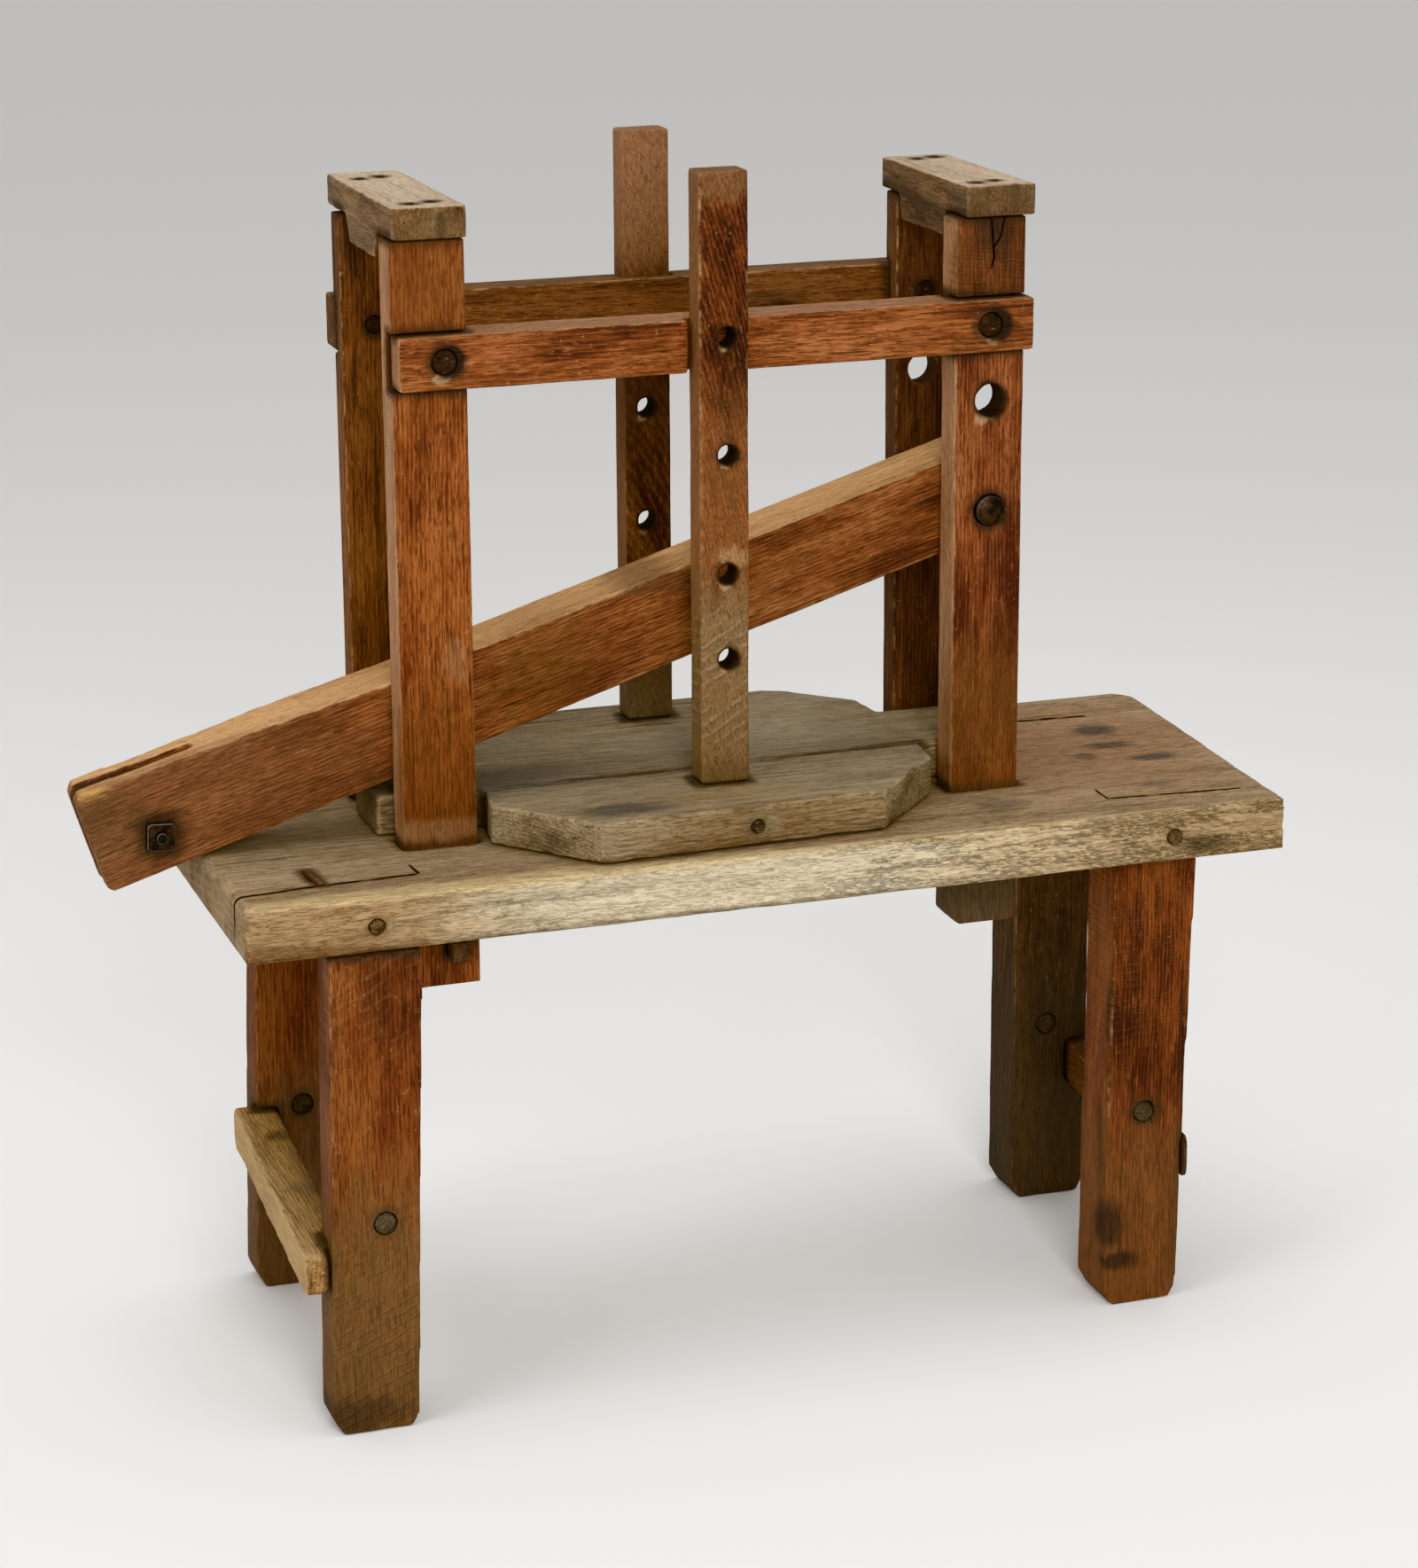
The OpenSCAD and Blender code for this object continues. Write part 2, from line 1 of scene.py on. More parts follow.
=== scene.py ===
"""Looks of an old beam cider press: worn oak timbers, whittled pegs and forged iron around a fixed frame."""

from __future__ import annotations

import json
import logging
import math
from dataclasses import dataclass, field, replace
from enum import Enum
from typing import Any, Iterable, Sequence

import bmesh
import bpy
import numpy as np
from mathutils import Matrix, Vector

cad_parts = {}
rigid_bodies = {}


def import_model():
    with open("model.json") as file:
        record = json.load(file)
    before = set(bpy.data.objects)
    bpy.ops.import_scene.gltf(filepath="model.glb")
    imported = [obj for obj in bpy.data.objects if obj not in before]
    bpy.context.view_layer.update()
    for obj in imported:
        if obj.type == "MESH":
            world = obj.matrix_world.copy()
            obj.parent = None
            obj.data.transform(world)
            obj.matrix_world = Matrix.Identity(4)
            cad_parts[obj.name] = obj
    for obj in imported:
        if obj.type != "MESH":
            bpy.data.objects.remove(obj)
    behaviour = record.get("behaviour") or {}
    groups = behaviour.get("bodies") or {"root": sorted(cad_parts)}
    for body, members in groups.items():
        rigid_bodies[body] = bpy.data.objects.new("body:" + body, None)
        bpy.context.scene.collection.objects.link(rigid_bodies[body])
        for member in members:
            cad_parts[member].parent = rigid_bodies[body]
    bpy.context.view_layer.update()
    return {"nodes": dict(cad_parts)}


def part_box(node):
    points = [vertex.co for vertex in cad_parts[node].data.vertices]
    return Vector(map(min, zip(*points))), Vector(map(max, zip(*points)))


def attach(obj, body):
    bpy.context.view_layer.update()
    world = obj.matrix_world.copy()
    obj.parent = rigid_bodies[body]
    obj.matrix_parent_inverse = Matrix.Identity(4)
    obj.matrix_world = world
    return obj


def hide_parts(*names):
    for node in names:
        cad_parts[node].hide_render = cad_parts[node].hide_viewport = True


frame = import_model()

LOG = logging.getLogger("cider_press")
Triple = tuple[float, float, float]

SLAB_LOW, SLAB_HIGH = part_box("bench_top")
PIN_LOW, PIN_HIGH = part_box("pivot_pin")
PIVOT = Vector(((PIN_LOW.x + PIN_HIGH.x) / 2, 0.0, (PIN_LOW.z + PIN_HIGH.z) / 2))
LEVER_LEAN = math.radians(17.0)
SLAB_PITH = (0.0, 0.18, 0.42)


class Body(Enum):
    """The rigid bodies that pieces ride on."""

    FRAME = "frame"
    LEVER = "lever_arm"
    FOLLOWER = "follower"


class Grain(Enum):
    """Which way a timber's grain runs, as the turn that brings it onto X."""

    ALONG_BENCH = (0.0, 0.0, 0.0)
    FRONT_TO_BACK = (0.0, 0.0, -math.pi / 2)
    UPRIGHT = (0.0, math.pi / 2, 0.0)
    LEVER = (0.0, LEVER_LEAN, 0.0)


# ---------------------------------------------------------------- shader maths


class Wire:
    """One output socket, with Python's operators standing for Math nodes."""

    def __init__(self, graph: "Graph", socket: bpy.types.NodeSocket) -> None:
        """Keeps the socket and the graph it belongs to."""
        self.graph = graph
        self.socket = socket

    def _maths(self, operation: str, *values: Any) -> "Wire":
        """Adds one Math node.

        Args:
            operation: the Math node's operation.
            values: its inputs in order, wires or numbers.

        Returns:
            The node's value.
        """
        return self.graph.node("ShaderNodeMath", {"operation": operation}, list(values))

    def __add__(self, other: Any) -> "Wire":
        """Sum."""
        return self._maths("ADD", self, other)

    def __radd__(self, other: Any) -> "Wire":
        """Sum, number first."""
        return self._maths("ADD", other, self)

    def __sub__(self, other: Any) -> "Wire":
        """Difference."""
        return self._maths("SUBTRACT", self, other)

    def __rsub__(self, other: Any) -> "Wire":
        """Difference, number first."""
        return self._maths("SUBTRACT", other, self)

    def __mul__(self, other: Any) -> "Wire":
        """Product."""
        return self._maths("MULTIPLY", self, other)

    def __rmul__(self, other: Any) -> "Wire":
        """Product, number first."""
        return self._maths("MULTIPLY", other, self)

    def __truediv__(self, other: Any) -> "Wire":
        """Quotient."""
        return self._maths("DIVIDE", self, other)

    def __rtruediv__(self, other: Any) -> "Wire":
        """Quotient, number first."""
        return self._maths("DIVIDE", other, self)

    def fract(self) -> "Wire":
        """The part after the point."""
        return self._maths("FRACT", self)

    def root(self) -> "Wire":
        """Square root."""
        return self._maths("SQRT", self)

    def least(self, other: Any) -> "Wire":
        """The smaller of two values."""
        return self._maths("MINIMUM", self, other)

    def most(self, other: Any) -> "Wire":
        """The larger of two values."""
        return self._maths("MAXIMUM", self, other)

    def step(self, low: float, high: float) -> "Wire":
        """A smooth rise from 0 to 1 between two values.

        Args:
            low: where the rise starts.
            high: where it ends.

        Returns:
            The value, clamped to that range.
        """
        settings = {"interpolation_type": "SMOOTHSTEP", "clamp": True}
        return self.graph.node("ShaderNodeMapRange", settings, [self, low, high, 0.0, 1.0])


class Graph:
    """A material's node tree, built one call at a time."""

    def __init__(self, name: str) -> None:
        """Starts an empty material of that name."""
        self.material = bpy.data.materials.new(name)
        self.material.use_nodes = True
        self.tree = self.material.node_tree
        self.tree.nodes.clear()

    def node(
        self, kind: str, settings: dict[str, Any] | None = None, values: Any = None, out: int | str = 0
    ) -> Wire:
        """Adds any node.

        Args:
            kind: the node's type name.
            settings: its own properties, set before its sockets.
            values: wires or numbers for its sockets, as a list in order or a dict by name.
            out: which output to hand back.

        Returns:
            The chosen output.
        """
        made = self.tree.nodes.new(kind)
        for key, value in (settings or {}).items():
            setattr(made, key, value)
        open_sockets = [s for s in made.inputs if s.enabled]
        pairs = values.items() if isinstance(values, dict) else enumerate(values or [])
        for key, value in pairs:
            if value is None:
                continue
            socket = open_sockets[key] if isinstance(key, int) else next(
                s for s in open_sockets if s.name == key)
            if isinstance(value, Wire):
                self.tree.links.new(value.socket, socket)
            else:
                socket.default_value = value
        outs = [s for s in made.outputs if s.enabled]
        chosen = outs[out] if isinstance(out, int) else next(s for s in outs if s.name == out)
        return Wire(self, chosen)

    def vector(self, operation: str, a: Any, b: Any = None) -> Wire:
        """Adds one Vector Math node on two vectors."""
        return self.node("ShaderNodeVectorMath", {"operation": operation}, [a, b])

    def length(self, a: Wire) -> Wire:
        """The length of a vector."""
        return self.node("ShaderNodeVectorMath", {"operation": "LENGTH"}, [a], "Value")

    def stored(self, name: str) -> Wire:
        """A value that the geometry stored on the mesh."""
        return self.node("ShaderNodeAttribute", {"attribute_name": name}, None, "Fac")

    def along(self, a: Wire, direction: Triple) -> Wire:
        """How far a vector reaches in a direction."""
        return self.node("ShaderNodeVectorMath", {"operation": "DOT_PRODUCT"}, [a, direction], "Value")

    def split(self, a: Wire) -> tuple[Wire, Wire, Wire]:
        """A vector's three numbers."""
        first = self.node("ShaderNodeSeparateXYZ", None, [a])
        outs = first.socket.node.outputs
        return first, Wire(self, outs[1]), Wire(self, outs[2])

    def noise(
        self, at: Wire, stretch: Triple, detail: float = 3.0, rough: float = 0.55, seed: float = 0.0
    ) -> Wire:
        """Soft noise around one half.

        Args:
            at: where it is read.
            stretch: how many features fit in a metre, each way.
            detail: how many finer layers are added.
            rough: how strong they are.
            seed: shifts the pattern.

        Returns:
            A value from 0 to 1.
        """
        place = self.node(
            "ShaderNodeVectorMath", {"operation": "MULTIPLY_ADD"}, [at, stretch, (seed, seed * 1.7, -seed)])
        values = {"Vector": place, "Scale": 1.0, "Detail": detail, "Roughness": rough}
        return self.node("ShaderNodeTexNoise", None, values)

    def wobble(self, at: Wire, stretch: Triple, seed: float = 0.0) -> Wire:
        """A noise vector around the origin, half a unit each way."""
        place = self.node(
            "ShaderNodeVectorMath", {"operation": "MULTIPLY_ADD"}, [at, stretch, (seed, -seed, seed)])
        cloud = self.node(
            "ShaderNodeTexNoise", None, {"Vector": place, "Scale": 1.0, "Detail": 2.0}, "Color")
        return self.vector("SUBTRACT", cloud, (0.5, 0.5, 0.5))

    def mix(self, amount: Any, a: Any, b: Any) -> Wire:
        """Mixes two colours.

        Args:
            amount: how much of the second, a wire or a number.
            a: the first colour.
            b: the second colour.

        Returns:
            The mixed colour.
        """
        settings = {"data_type": "RGBA", "blend_type": "MIX", "clamp_factor": True}
        return self.node("ShaderNodeMix", settings, [amount, _paint(a), _paint(b)])

    def ramp(self, at: Wire, stops: Sequence[tuple[float, Triple]]) -> Wire:
        """A colour ramp with these stops."""
        made = self.tree.nodes.new("ShaderNodeValToRGB")
        band = made.color_ramp
        for spot, _ in stops[2:]:
            band.elements.new(spot)
        for element, (spot, colour) in zip(band.elements, sorted(stops)):
            element.position = spot
            element.color = (*colour, 1.0)
        self.tree.links.new(at.socket, made.inputs[0])
        return Wire(self, made.outputs[0])

    def finish(
        self, colour: Wire, rough: Wire, height: Wire, metal: float, bump: float, depth: float, gloss: float
    ) -> None:
        """Ends the material in one surface.

        Args:
            colour: what the surface's colour is.
            rough: its roughness.
            height: its relief.
            metal: 1 on bare metal and 0 elsewhere.
            bump: how strongly the relief shows.
            depth: the relief's depth in metres.
            gloss: how strongly it reflects straight on, one half being plain varnish.
        """
        normal = self.node("ShaderNodeBump", None, {"Strength": bump, "Distance": depth, "Height": height})
        values = {
            "Base Color": colour, "Roughness": rough, "Normal": normal, "Metallic": metal,
            "Specular IOR Level": gloss}
        shader = self.node("ShaderNodeBsdfPrincipled", None, values)
        end = self.tree.nodes.new("ShaderNodeOutputMaterial")
        self.tree.links.new(shader.socket, end.inputs["Surface"])


def _paint(value: Any) -> Any:
    """A colour with its alpha, or the wire as it is."""
    return value if isinstance(value, Wire) else (*value, 1.0)


# ---------------------------------------------------------------- finishes


@dataclass(frozen=True)
class Blotch:
    """A stain, scuff, tinted stretch or patch of painted shade, in metres from its timber's lowest corner."""

    at: Triple
    reach: Triple
    colour: Triple
    amount: float = 0.7
    ragged: float = 0.35
    soft: float = 0.35


@dataclass(frozen=True)
class SawMarks:
    """Parallel marks of a saw or drawknife, in metres from the timber's lowest corner."""

    at: Triple
    reach: Triple
    across: Triple
    pitch: float = 0.007
    amount: float = 0.5
    colour: Triple = (0.42, 0.27, 0.14)


@dataclass(frozen=True)
class Crack:
    """An open crack: points on the surface from the timber's lowest corner, its direction, width and depth."""

    path: tuple[Triple, ...]
    down: Triple = (0.0, 0.0, -1.0)
    width: float = 0.006
    depth: float = 0.022


def shifted(at: Triple, corner: Vector) -> Triple:
    """A place measured from a corner, in the press's frame."""
    return (at[0] + corner.x, at[1] + corner.y, at[2] + corner.z)


@dataclass(frozen=True)
class OakFinish:
    """Old oak: ring colours, weathering, painted light and shade, and relief."""

    name: str
    pale: Triple
    warm: Triple
    deep: Triple
    # the colour that weathered patches turn towards, and also the painted light colour of top and left-facing
    # faces
    weathered_and_lit_colour: Triple
    aged_amount: float = 0.25
    edge: Triple = (0.50, 0.33, 0.18)
    edge_amount: float = 0.5
    # dark colour for checks, worm holes and specks, also used for darkening inside corners and for painted
    # shade close to touching parts
    grime_and_shade: Triple = (0.045, 0.027, 0.016)
    # painted light: how much paler left-facing faces are made, as if lit
    left_face_painted_light: float = 0.35
    # painted light: how much paler top faces are made, as if lit
    top_face_painted_light: float = 0.45
    ring: float = 0.0045
    figure: float = 0.016
    contrast: float = 0.55
    torn: float = 0.0
    rough: float = 0.66
    depth: float = 0.0019
    lean: Triple = (0.0, 0.0, 0.0)
    mottle: float = 1.0
    blotches: tuple[Blotch, ...] = ()
    marks: tuple[SawMarks, ...] = ()
    cracks: tuple[Crack, ...] = ()

    def placed(self, corner: Vector) -> "OakFinish":
        """Puts the stains, painted shade, marks and cracks in the press's frame.

        Args:
            corner: the timber's lowest corner.

        Returns:
            The same finish otherwise.
        """
        return replace(
            self,
            blotches=tuple(replace(b, at=shifted(b.at, corner)) for b in self.blotches),
            marks=tuple(replace(m, at=shifted(m.at, corner)) for m in self.marks),
            cracks=tuple(replace(c, path=tuple(shifted(p, corner) for p in c.path)) for c in self.cracks))

    def material(self, grain: Grain, pith: Triple, seed: float) -> bpy.types.Material:
        """Builds the finish for one timber.

        Args:
            grain: which way the timber's grain runs.
            pith: where the tree's heart lay, from the timber's own frame.
            seed: the timber's own number, so that no two look alike.

        Returns:
            The material.
        """
        g = Graph(f"{self.name}_{seed:.0f}")
        spot = g.node("ShaderNodeTexCoord", None, None, "Object")
        normal = g.node("ShaderNodeTexCoord", None, None, "Normal")
        turned = tuple(a + b for a, b in zip(grain.value, self.lean))
        lie = g.node("ShaderNodeMapping", {"vector_type": "POINT"}, [spot, pith, turned, (1.0, 1.0, 1.0)])
        colour, height, early, streak = self._timber(g, lie, seed)
        colour, age_and_lit_faces = self._weather(g, colour, lie, spot, normal, seed)
        colour = self._marks(g, colour, spot, seed)
        for n, b in enumerate(self.blotches):
            colour = self._blotch(g, colour, spot, lie, b, seed + n * 3.1)
        for c in self.cracks:
            colour = self._crack(g, colour, spot, c)
        rough = (early * 0.10 + streak * 0.12 + age_and_lit_faces * 0.14 + (self.rough - 0.12)).least(0.95)
        g.finish(colour, rough, height + self._relief(g, spot, lie, seed), 0.0, 0.9, self.depth, 0.22)
        return g.material

    def _timber(self, g: Graph, lie: Wire, seed: float) -> tuple[Wire, Wire, Wire, Wire]:
        """Growth rings, pores and streaks.

        Args:
            g: the graph.
            lie: the timber's own frame, grain along X.
            seed: the timber's number.

        Returns:
            Colour, relief, early wood and streaks.
        """
        bend = g.wobble(lie, (3.0, 9.0, 9.0), seed)
        bent = g.vector("MULTIPLY_ADD", bend, (0.0, self.figure, self.figure))
        g.tree.links.new(lie.socket, bent.socket.node.inputs[2])
        _, across, up = g.split(bent)
        fine = g.noise(lie, (16.0, 130.0, 130.0), 3.0, 0.6, seed)
        rings = ((across * across + up * up).root() / self.ring + fine * 1.1).fract()
        early = rings.step(0.0, 0.45) * (1.0 - rings.step(0.70, 1.0))
        streak = g.noise(lie, (15.0, 190.0, 190.0), 4.0, 0.68, seed + 5)
        pores = g.noise(lie, (62.0, 900.0, 900.0), 2.0, 0.5, seed + 9).step(0.55, 0.66)
        broad = g.noise(lie, (2.6, 11.0, 11.0), 4.0, 0.62, seed + 2)
        cloud = g.noise(lie, (9.0, 42.0, 42.0), 3.0, 0.6, seed + 7)
        grain = (streak - 0.5) * 1.1 * self.contrast + (0.5 - early) * 0.34 * self.contrast
        tone = grain + (0.5 + (broad - 0.5) * 1.9 * self.mottle + (cloud - 0.5) * 1.1 * self.mottle)
        colour = g.ramp(tone, [(0.14, self.deep), (0.86, self.pale), (0.50, self.warm)])
        colour = g.mix(pores * (0.30 + 0.45 * self.contrast), colour, self.deep)
        dash = g.noise(lie, (26.0, 310.0, 310.0), 2.0, 0.55, seed + 15).step(0.585, 0.635)
        colour = g.mix(dash * (0.25 + 0.40 * self.contrast), colour, self.deep)
        fleck = g.noise(lie, (34.0, 240.0, 240.0), 2.0, 0.5, seed + 17).step(0.615, 0.655)
        colour = g.mix(fleck * 0.42, colour, self.pale)
        check = g.noise(lie, (3.5, 110.0, 110.0), 3.0, 0.6, seed + 13).step(0.655, 0.685)
        colour = g.mix(check * 0.8, colour, self.grime_and_shade)
        height = streak * 1.1 - pores * 0.5 - dash * 0.5 - check * 1.6
        height = height + early * 0.25 + fine * 0.35 + cloud * 0.6
        if self.torn:
            tear = g.noise(lie, (9.0, 80.0, 80.0), 5.0, 0.72, seed + 21)
            along, deep_in, _ = g.split(lie)
            front = 1.0 - (deep_in - SLAB_PITH[1]).step(SLAB_LOW.y + 0.003, SLAB_LOW.y + 0.010)
            where = (0.10 + 0.90 * along.step(0.08, 0.22)) * front
            rip = tear.step(0.50, 0.55) * (1.0 - tear.step(0.58, 0.64)) * where * self.torn
            arc = (along * 62.0 + tear * 9.0 + g.split(lie)[2] * 95.0).fract()
            rip = (
                rip + arc.step(0.72, 0.86) * (
                    1.0 - arc.step(0.93, 1.0)) * where * tear.step(0.44, 0.60) * 0.8).least(1.0)
            colour = g.mix(rip * 0.50, colour, self.deep)
            worm = g.node(
                "ShaderNodeTexVoronoi", None,
                {
                    "Vector": g.node(
                        "ShaderNodeVectorMath", {"operation": "MULTIPLY"}, [lie, (34.0, 60.0, 60.0)]),
                    "Scale": 1.0})
            hole = (1.0 - worm.step(0.060, 0.085)) * self.torn
            colour = g.mix(hole * 0.85, colour, self.grime_and_shade)
            height = height - rip * 2.6 - hole * 2.0
        return colour, height, early, streak

    def _weather(
        self, g: Graph, colour: Wire, lie: Wire, spot: Wire, normal: Wire, seed: float
    ) -> tuple[Wire, Wire]:
        """Greying, pale worn edges, darker inside corners, painted shade close to touching parts, and painted
        light that makes top and left-facing faces paler.

        Args:
            g: the graph.
            colour: the timber's colour.
            lie: the timber's own frame.
            spot: the press's frame.
            normal: which way the surface faces.
            seed: the timber's number.

        Returns:
            The colour, and how far it is weathered, with the painted light on top and left-facing faces
            counted in.
        """
        cloud = g.noise(lie, (3.5, 16.0, 16.0), 4.0, 0.62, seed + 31)
        nx, _, nz = g.split(normal)
        # painted light: top faces and left-facing faces are made paler, standing for the light that falls on
        # them
        turned = (-1.0 * nx).step(0.55, 0.9) * self.left_face_painted_light + nz.step(0.5, 0.9) * self.top_face_painted_light
        age_and_lit_faces = (
            cloud.step(
                0.62 - self.aged_amount, 0.95 - self.aged_amount * 0.4) * (0.3 + self.aged_amount) + turned
        ).least(1.0)
        # this mix is partly weathering in patches and partly painted light on top and left-facing faces
        colour = g.mix(age_and_lit_faces * (0.40 + cloud * 0.8), colour, self.weathered_and_lit_colour)
        edge = g.stored("edge")
        hollow = g.stored("hollow")
        scuff = g.noise(spot, (38.0, 38.0, 38.0), 4.0, 0.65, seed + 41)
        colour = g.mix(edge.step(0.25, 1.0) * scuff.step(0.44, 0.62) * self.edge_amount, colour, self.edge)
        colour = g.mix(edge.step(0.35, 1.0) * (1.0 - scuff.step(0.36, 0.48)) * 0.55, colour, self.grime_and_shade)
        # painted shade close to touching parts, with some soiling at the joints
        near = g.stored("near")
        joint_shade_and_soiling = (near + (scuff - 0.5) * 1.1 * near.step(0.02, 0.4)).step(0.12, 0.95)
        # darker inside corners, and painted shade close to touching parts
        colour = g.mix((hollow.step(0.1, 1.0) + joint_shade_and_soiling).least(1.0) * 0.86, colour, self.grime_and_shade)
        specks = g.noise(spot, (210.0, 210.0, 210.0), 2.0, 0.5, seed + 47)
        colour = g.mix(specks.step(0.675, 0.710) * 0.24, colour, self.edge)
        colour = g.mix((1.0 - specks.step(0.285, 0.325)) * 0.55, colour, self.grime_and_shade)
        return colour, age_and_lit_faces

    def _marks(self, g: Graph, colour: Wire, spot: Wire, seed: float) -> Wire:
        """Colours the saw marks in."""
        for m in self.marks:
            line, mask = self._kerf(g, spot, m, seed)
            colour = g.mix(line * mask * m.amount, colour, m.colour)
        return colour

    def _kerf(self, g: Graph, spot: Wire, m: SawMarks, seed: float) -> tuple[Wire, Wire]:
        """One set of saw marks.

        Args:
            g: the graph.
            spot: the press's frame.
            m: the marks.
            seed: the timber's number.

        Returns:
            The lines, and where they show.
        """
        rag = g.noise(spot, (30.0, 30.0, 30.0), 3.0, 0.6, seed + 61)
        phase = g.along(spot, m.across) / m.pitch + rag * 1.1
        line = phase.fract().step(0.45, 0.75) * (1.0 - phase.fract().step(0.85, 1.0))
        away = g.length(g.vector("DIVIDE", g.vector("SUBTRACT", spot, m.at), m.reach))
        return line, (1.0 - (away + (rag - 0.5) * 1.2).step(0.6, 1.1)) * rag.step(0.35, 0.6)

    def _relief(self, g: Graph, spot: Wire, lie: Wire, seed: float) -> Wire:
        """Relief of the saw marks over a slight roughness."""
        height = g.noise(lie, (25.0, 120.0, 120.0), 3.0, 0.6, seed + 55) * 0.6
        for m in self.marks:
            line, mask = self._kerf(g, spot, m, seed)
            height = height + line * mask * 1.1
        return height

    def _crack(self, g: Graph, colour: Wire, spot: Wire, c: Crack) -> Wire:
        """Paints shade into a crack, out to its lips.

        Args:
            g: the graph.
            colour: the colour under it.
            spot: the press's frame.
            c: the crack.

        Returns:
            The darkened colour.
        """
        for a, b in zip(c.path, c.path[1:]):
            span = Vector(b) - Vector(a)
            from_a = g.vector("SUBTRACT", spot, a)
            share = (g.along(from_a, tuple(span)) / span.length_squared).most(0.0).least(1.0)
            nearest = g.node("ShaderNodeVectorMath", {"operation": "SCALE"}, [tuple(span), share])
            down = Vector(c.down)
            off = g.vector("SUBTRACT", from_a, nearest)
            flat = g.vector("MULTIPLY", off, tuple(1.0 - abs(v) * 0.93 for v in down))
            gap = g.length(flat) + (g.noise(spot, (60.0, 60.0, 60.0), 2.0) - 0.5) * c.width * 0.7
            # painted shade: the crack's opening is painted near-black
            colour = g.mix(
                (1.0 - gap.step(c.width * 0.30, c.width * 0.60)) * 0.95, colour, (0.016, 0.011, 0.008))
        return colour

    def _blotch(self, g: Graph, colour: Wire, spot: Wire, lie: Wire, b: Blotch, seed: float) -> Wire:
        """Adds one stain or patch of painted shade.

        Args:
            g: the graph.
            colour: the colour under it.
            spot: the press's frame.
            lie: the timber's own frame, which stretches its outline.
            b: the stain or patch of painted shade.
            seed: shifts its outline.

        Returns:
            The stained colour.
        """
        away = g.length(g.vector("DIVIDE", g.vector("SUBTRACT", spot, b.at), b.reach))
        rag = g.noise(lie, (18.0, 60.0, 60.0), 4.0, 0.65, seed)
        mask = 1.0 - (away + (rag - 0.5) * b.ragged * 4.0).step(1.0 - b.soft, 1.0 + b.soft)
        return g.mix(mask * b.amount, colour, b.colour)


@dataclass(frozen=True)
class IronFinish:
    """Forged iron, dark and rubbed bright where it is touched."""

    name: str
    dark: Triple = (0.020, 0.017, 0.015)
    brown: Triple = (0.060, 0.034, 0.020)
    bright: Triple = (0.26, 0.24, 0.22)

    def material(self, seed: float) -> bpy.types.Material:
        """Builds the finish.

        Args:
            seed: the piece's own number.

        Returns:
            The material.
        """
        g = Graph(f"{self.name}_{seed:.0f}")
        spot = g.node("ShaderNodeTexCoord", None, None, "Object")
        cloud = g.noise(spot, (70.0, 70.0, 70.0), 5.0, 0.65, seed)
        fine = g.noise(spot, (420.0, 420.0, 420.0), 3.0, 0.6, seed + 3)
        edge = g.stored("edge")
        colour = g.mix(cloud.step(0.42, 0.62), self.dark, self.brown)
        rubbed = (edge.step(0.2, 1.0) * 0.75 + cloud.step(0.60, 0.74) * 0.35).least(1.0)
        colour = g.mix(rubbed, colour, self.bright)
        rough = 0.62 - rubbed * 0.26 + fine * 0.12
        g.finish(colour, rough, cloud * 1.2 + fine * 0.5, 0.75, 0.5, 0.0008, 0.5)
        return g.material


POST_OAK = OakFinish(
    "post_oak", (0.33, 0.120, 0.042), (
        0.218, 0.062, 0.0200
    ), (0.064, 0.0155, 0.007), (0.50, 0.300, 0.175), 0.06,
    left_face_painted_light=0.85)
LEG_OAK = replace(
    POST_OAK, name="leg_oak", pale=(0.235, 0.080, 0.026), warm=(
        0.152, 0.040, 0.0130), deep=(0.046, 0.012, 0.005),
    weathered_and_lit_colour=(0.21, 0.110, 0.055), aged_amount=0.16, left_face_painted_light=0.25)
LEVER_OAK = replace(
    POST_OAK, name="lever_oak", pale=(0.34, 0.142, 0.060), warm=(
        0.222, 0.076, 0.0300), deep=(0.074, 0.021, 0.009),
    top_face_painted_light=1.0, left_face_painted_light=0.3, weathered_and_lit_colour=(0.66, 0.390, 0.185), aged_amount=0.08)
RAIL_OAK = replace(
    POST_OAK, name="rail_oak", pale=(0.37, 0.146, 0.060), warm=(
        0.248, 0.080, 0.030), deep=(0.074, 0.019, 0.008),
    top_face_painted_light=0.70, weathered_and_lit_colour=(0.38, 0.230, 0.130))
# partly darker wood and partly painted shade: the back posts, the back rail and the right stretcher sit in
# shade and are coloured darker for it
DARK_SHADED_OAK = replace(
    POST_OAK, name="dark_shaded_oak", pale=(0.18, 0.074, 0.030), warm=(
        0.102, 0.038, 0.016), deep=(0.031, 0.011, 0.006),
    weathered_and_lit_colour=(0.22, 0.130, 0.065), aged_amount=0.12, left_face_painted_light=0.3)
CAP_OAK = replace(
    POST_OAK, name="cap_oak", pale=(0.25, 0.140, 0.064), warm=(
        0.155, 0.082, 0.036), deep=(0.055, 0.028, 0.012),
    top_face_painted_light=0.95, left_face_painted_light=0.10, weathered_and_lit_colour=(0.56, 0.440, 0.310), aged_amount=0.12, contrast=0.4, mottle=1.2)
SLAT_OAK = replace(
    POST_OAK, name="slat_oak", pale=(0.24, 0.080, 0.028), warm=(
        0.118, 0.032, 0.011), deep=(0.030, 0.008, 0.004),
    ring=0.0040, figure=0.030, contrast=0.85, weathered_and_lit_colour=(0.28, 0.150, 0.075), aged_amount=0.06,
    lean=(0.0, 0.10, 0.22))
BOARD_OAK = replace(
    POST_OAK, name="board_oak", pale=(0.37, 0.285, 0.170), warm=(
        0.250, 0.180, 0.103), deep=(0.095, 0.058, 0.031),
    weathered_and_lit_colour=(
        0.33, 0.270, 0.175
    ), aged_amount=0.22, top_face_painted_light=0.55, contrast=0.42, rough=0.74, mottle=0.85, left_face_painted_light=0.3,
    edge=(0.46, 0.360, 0.210))
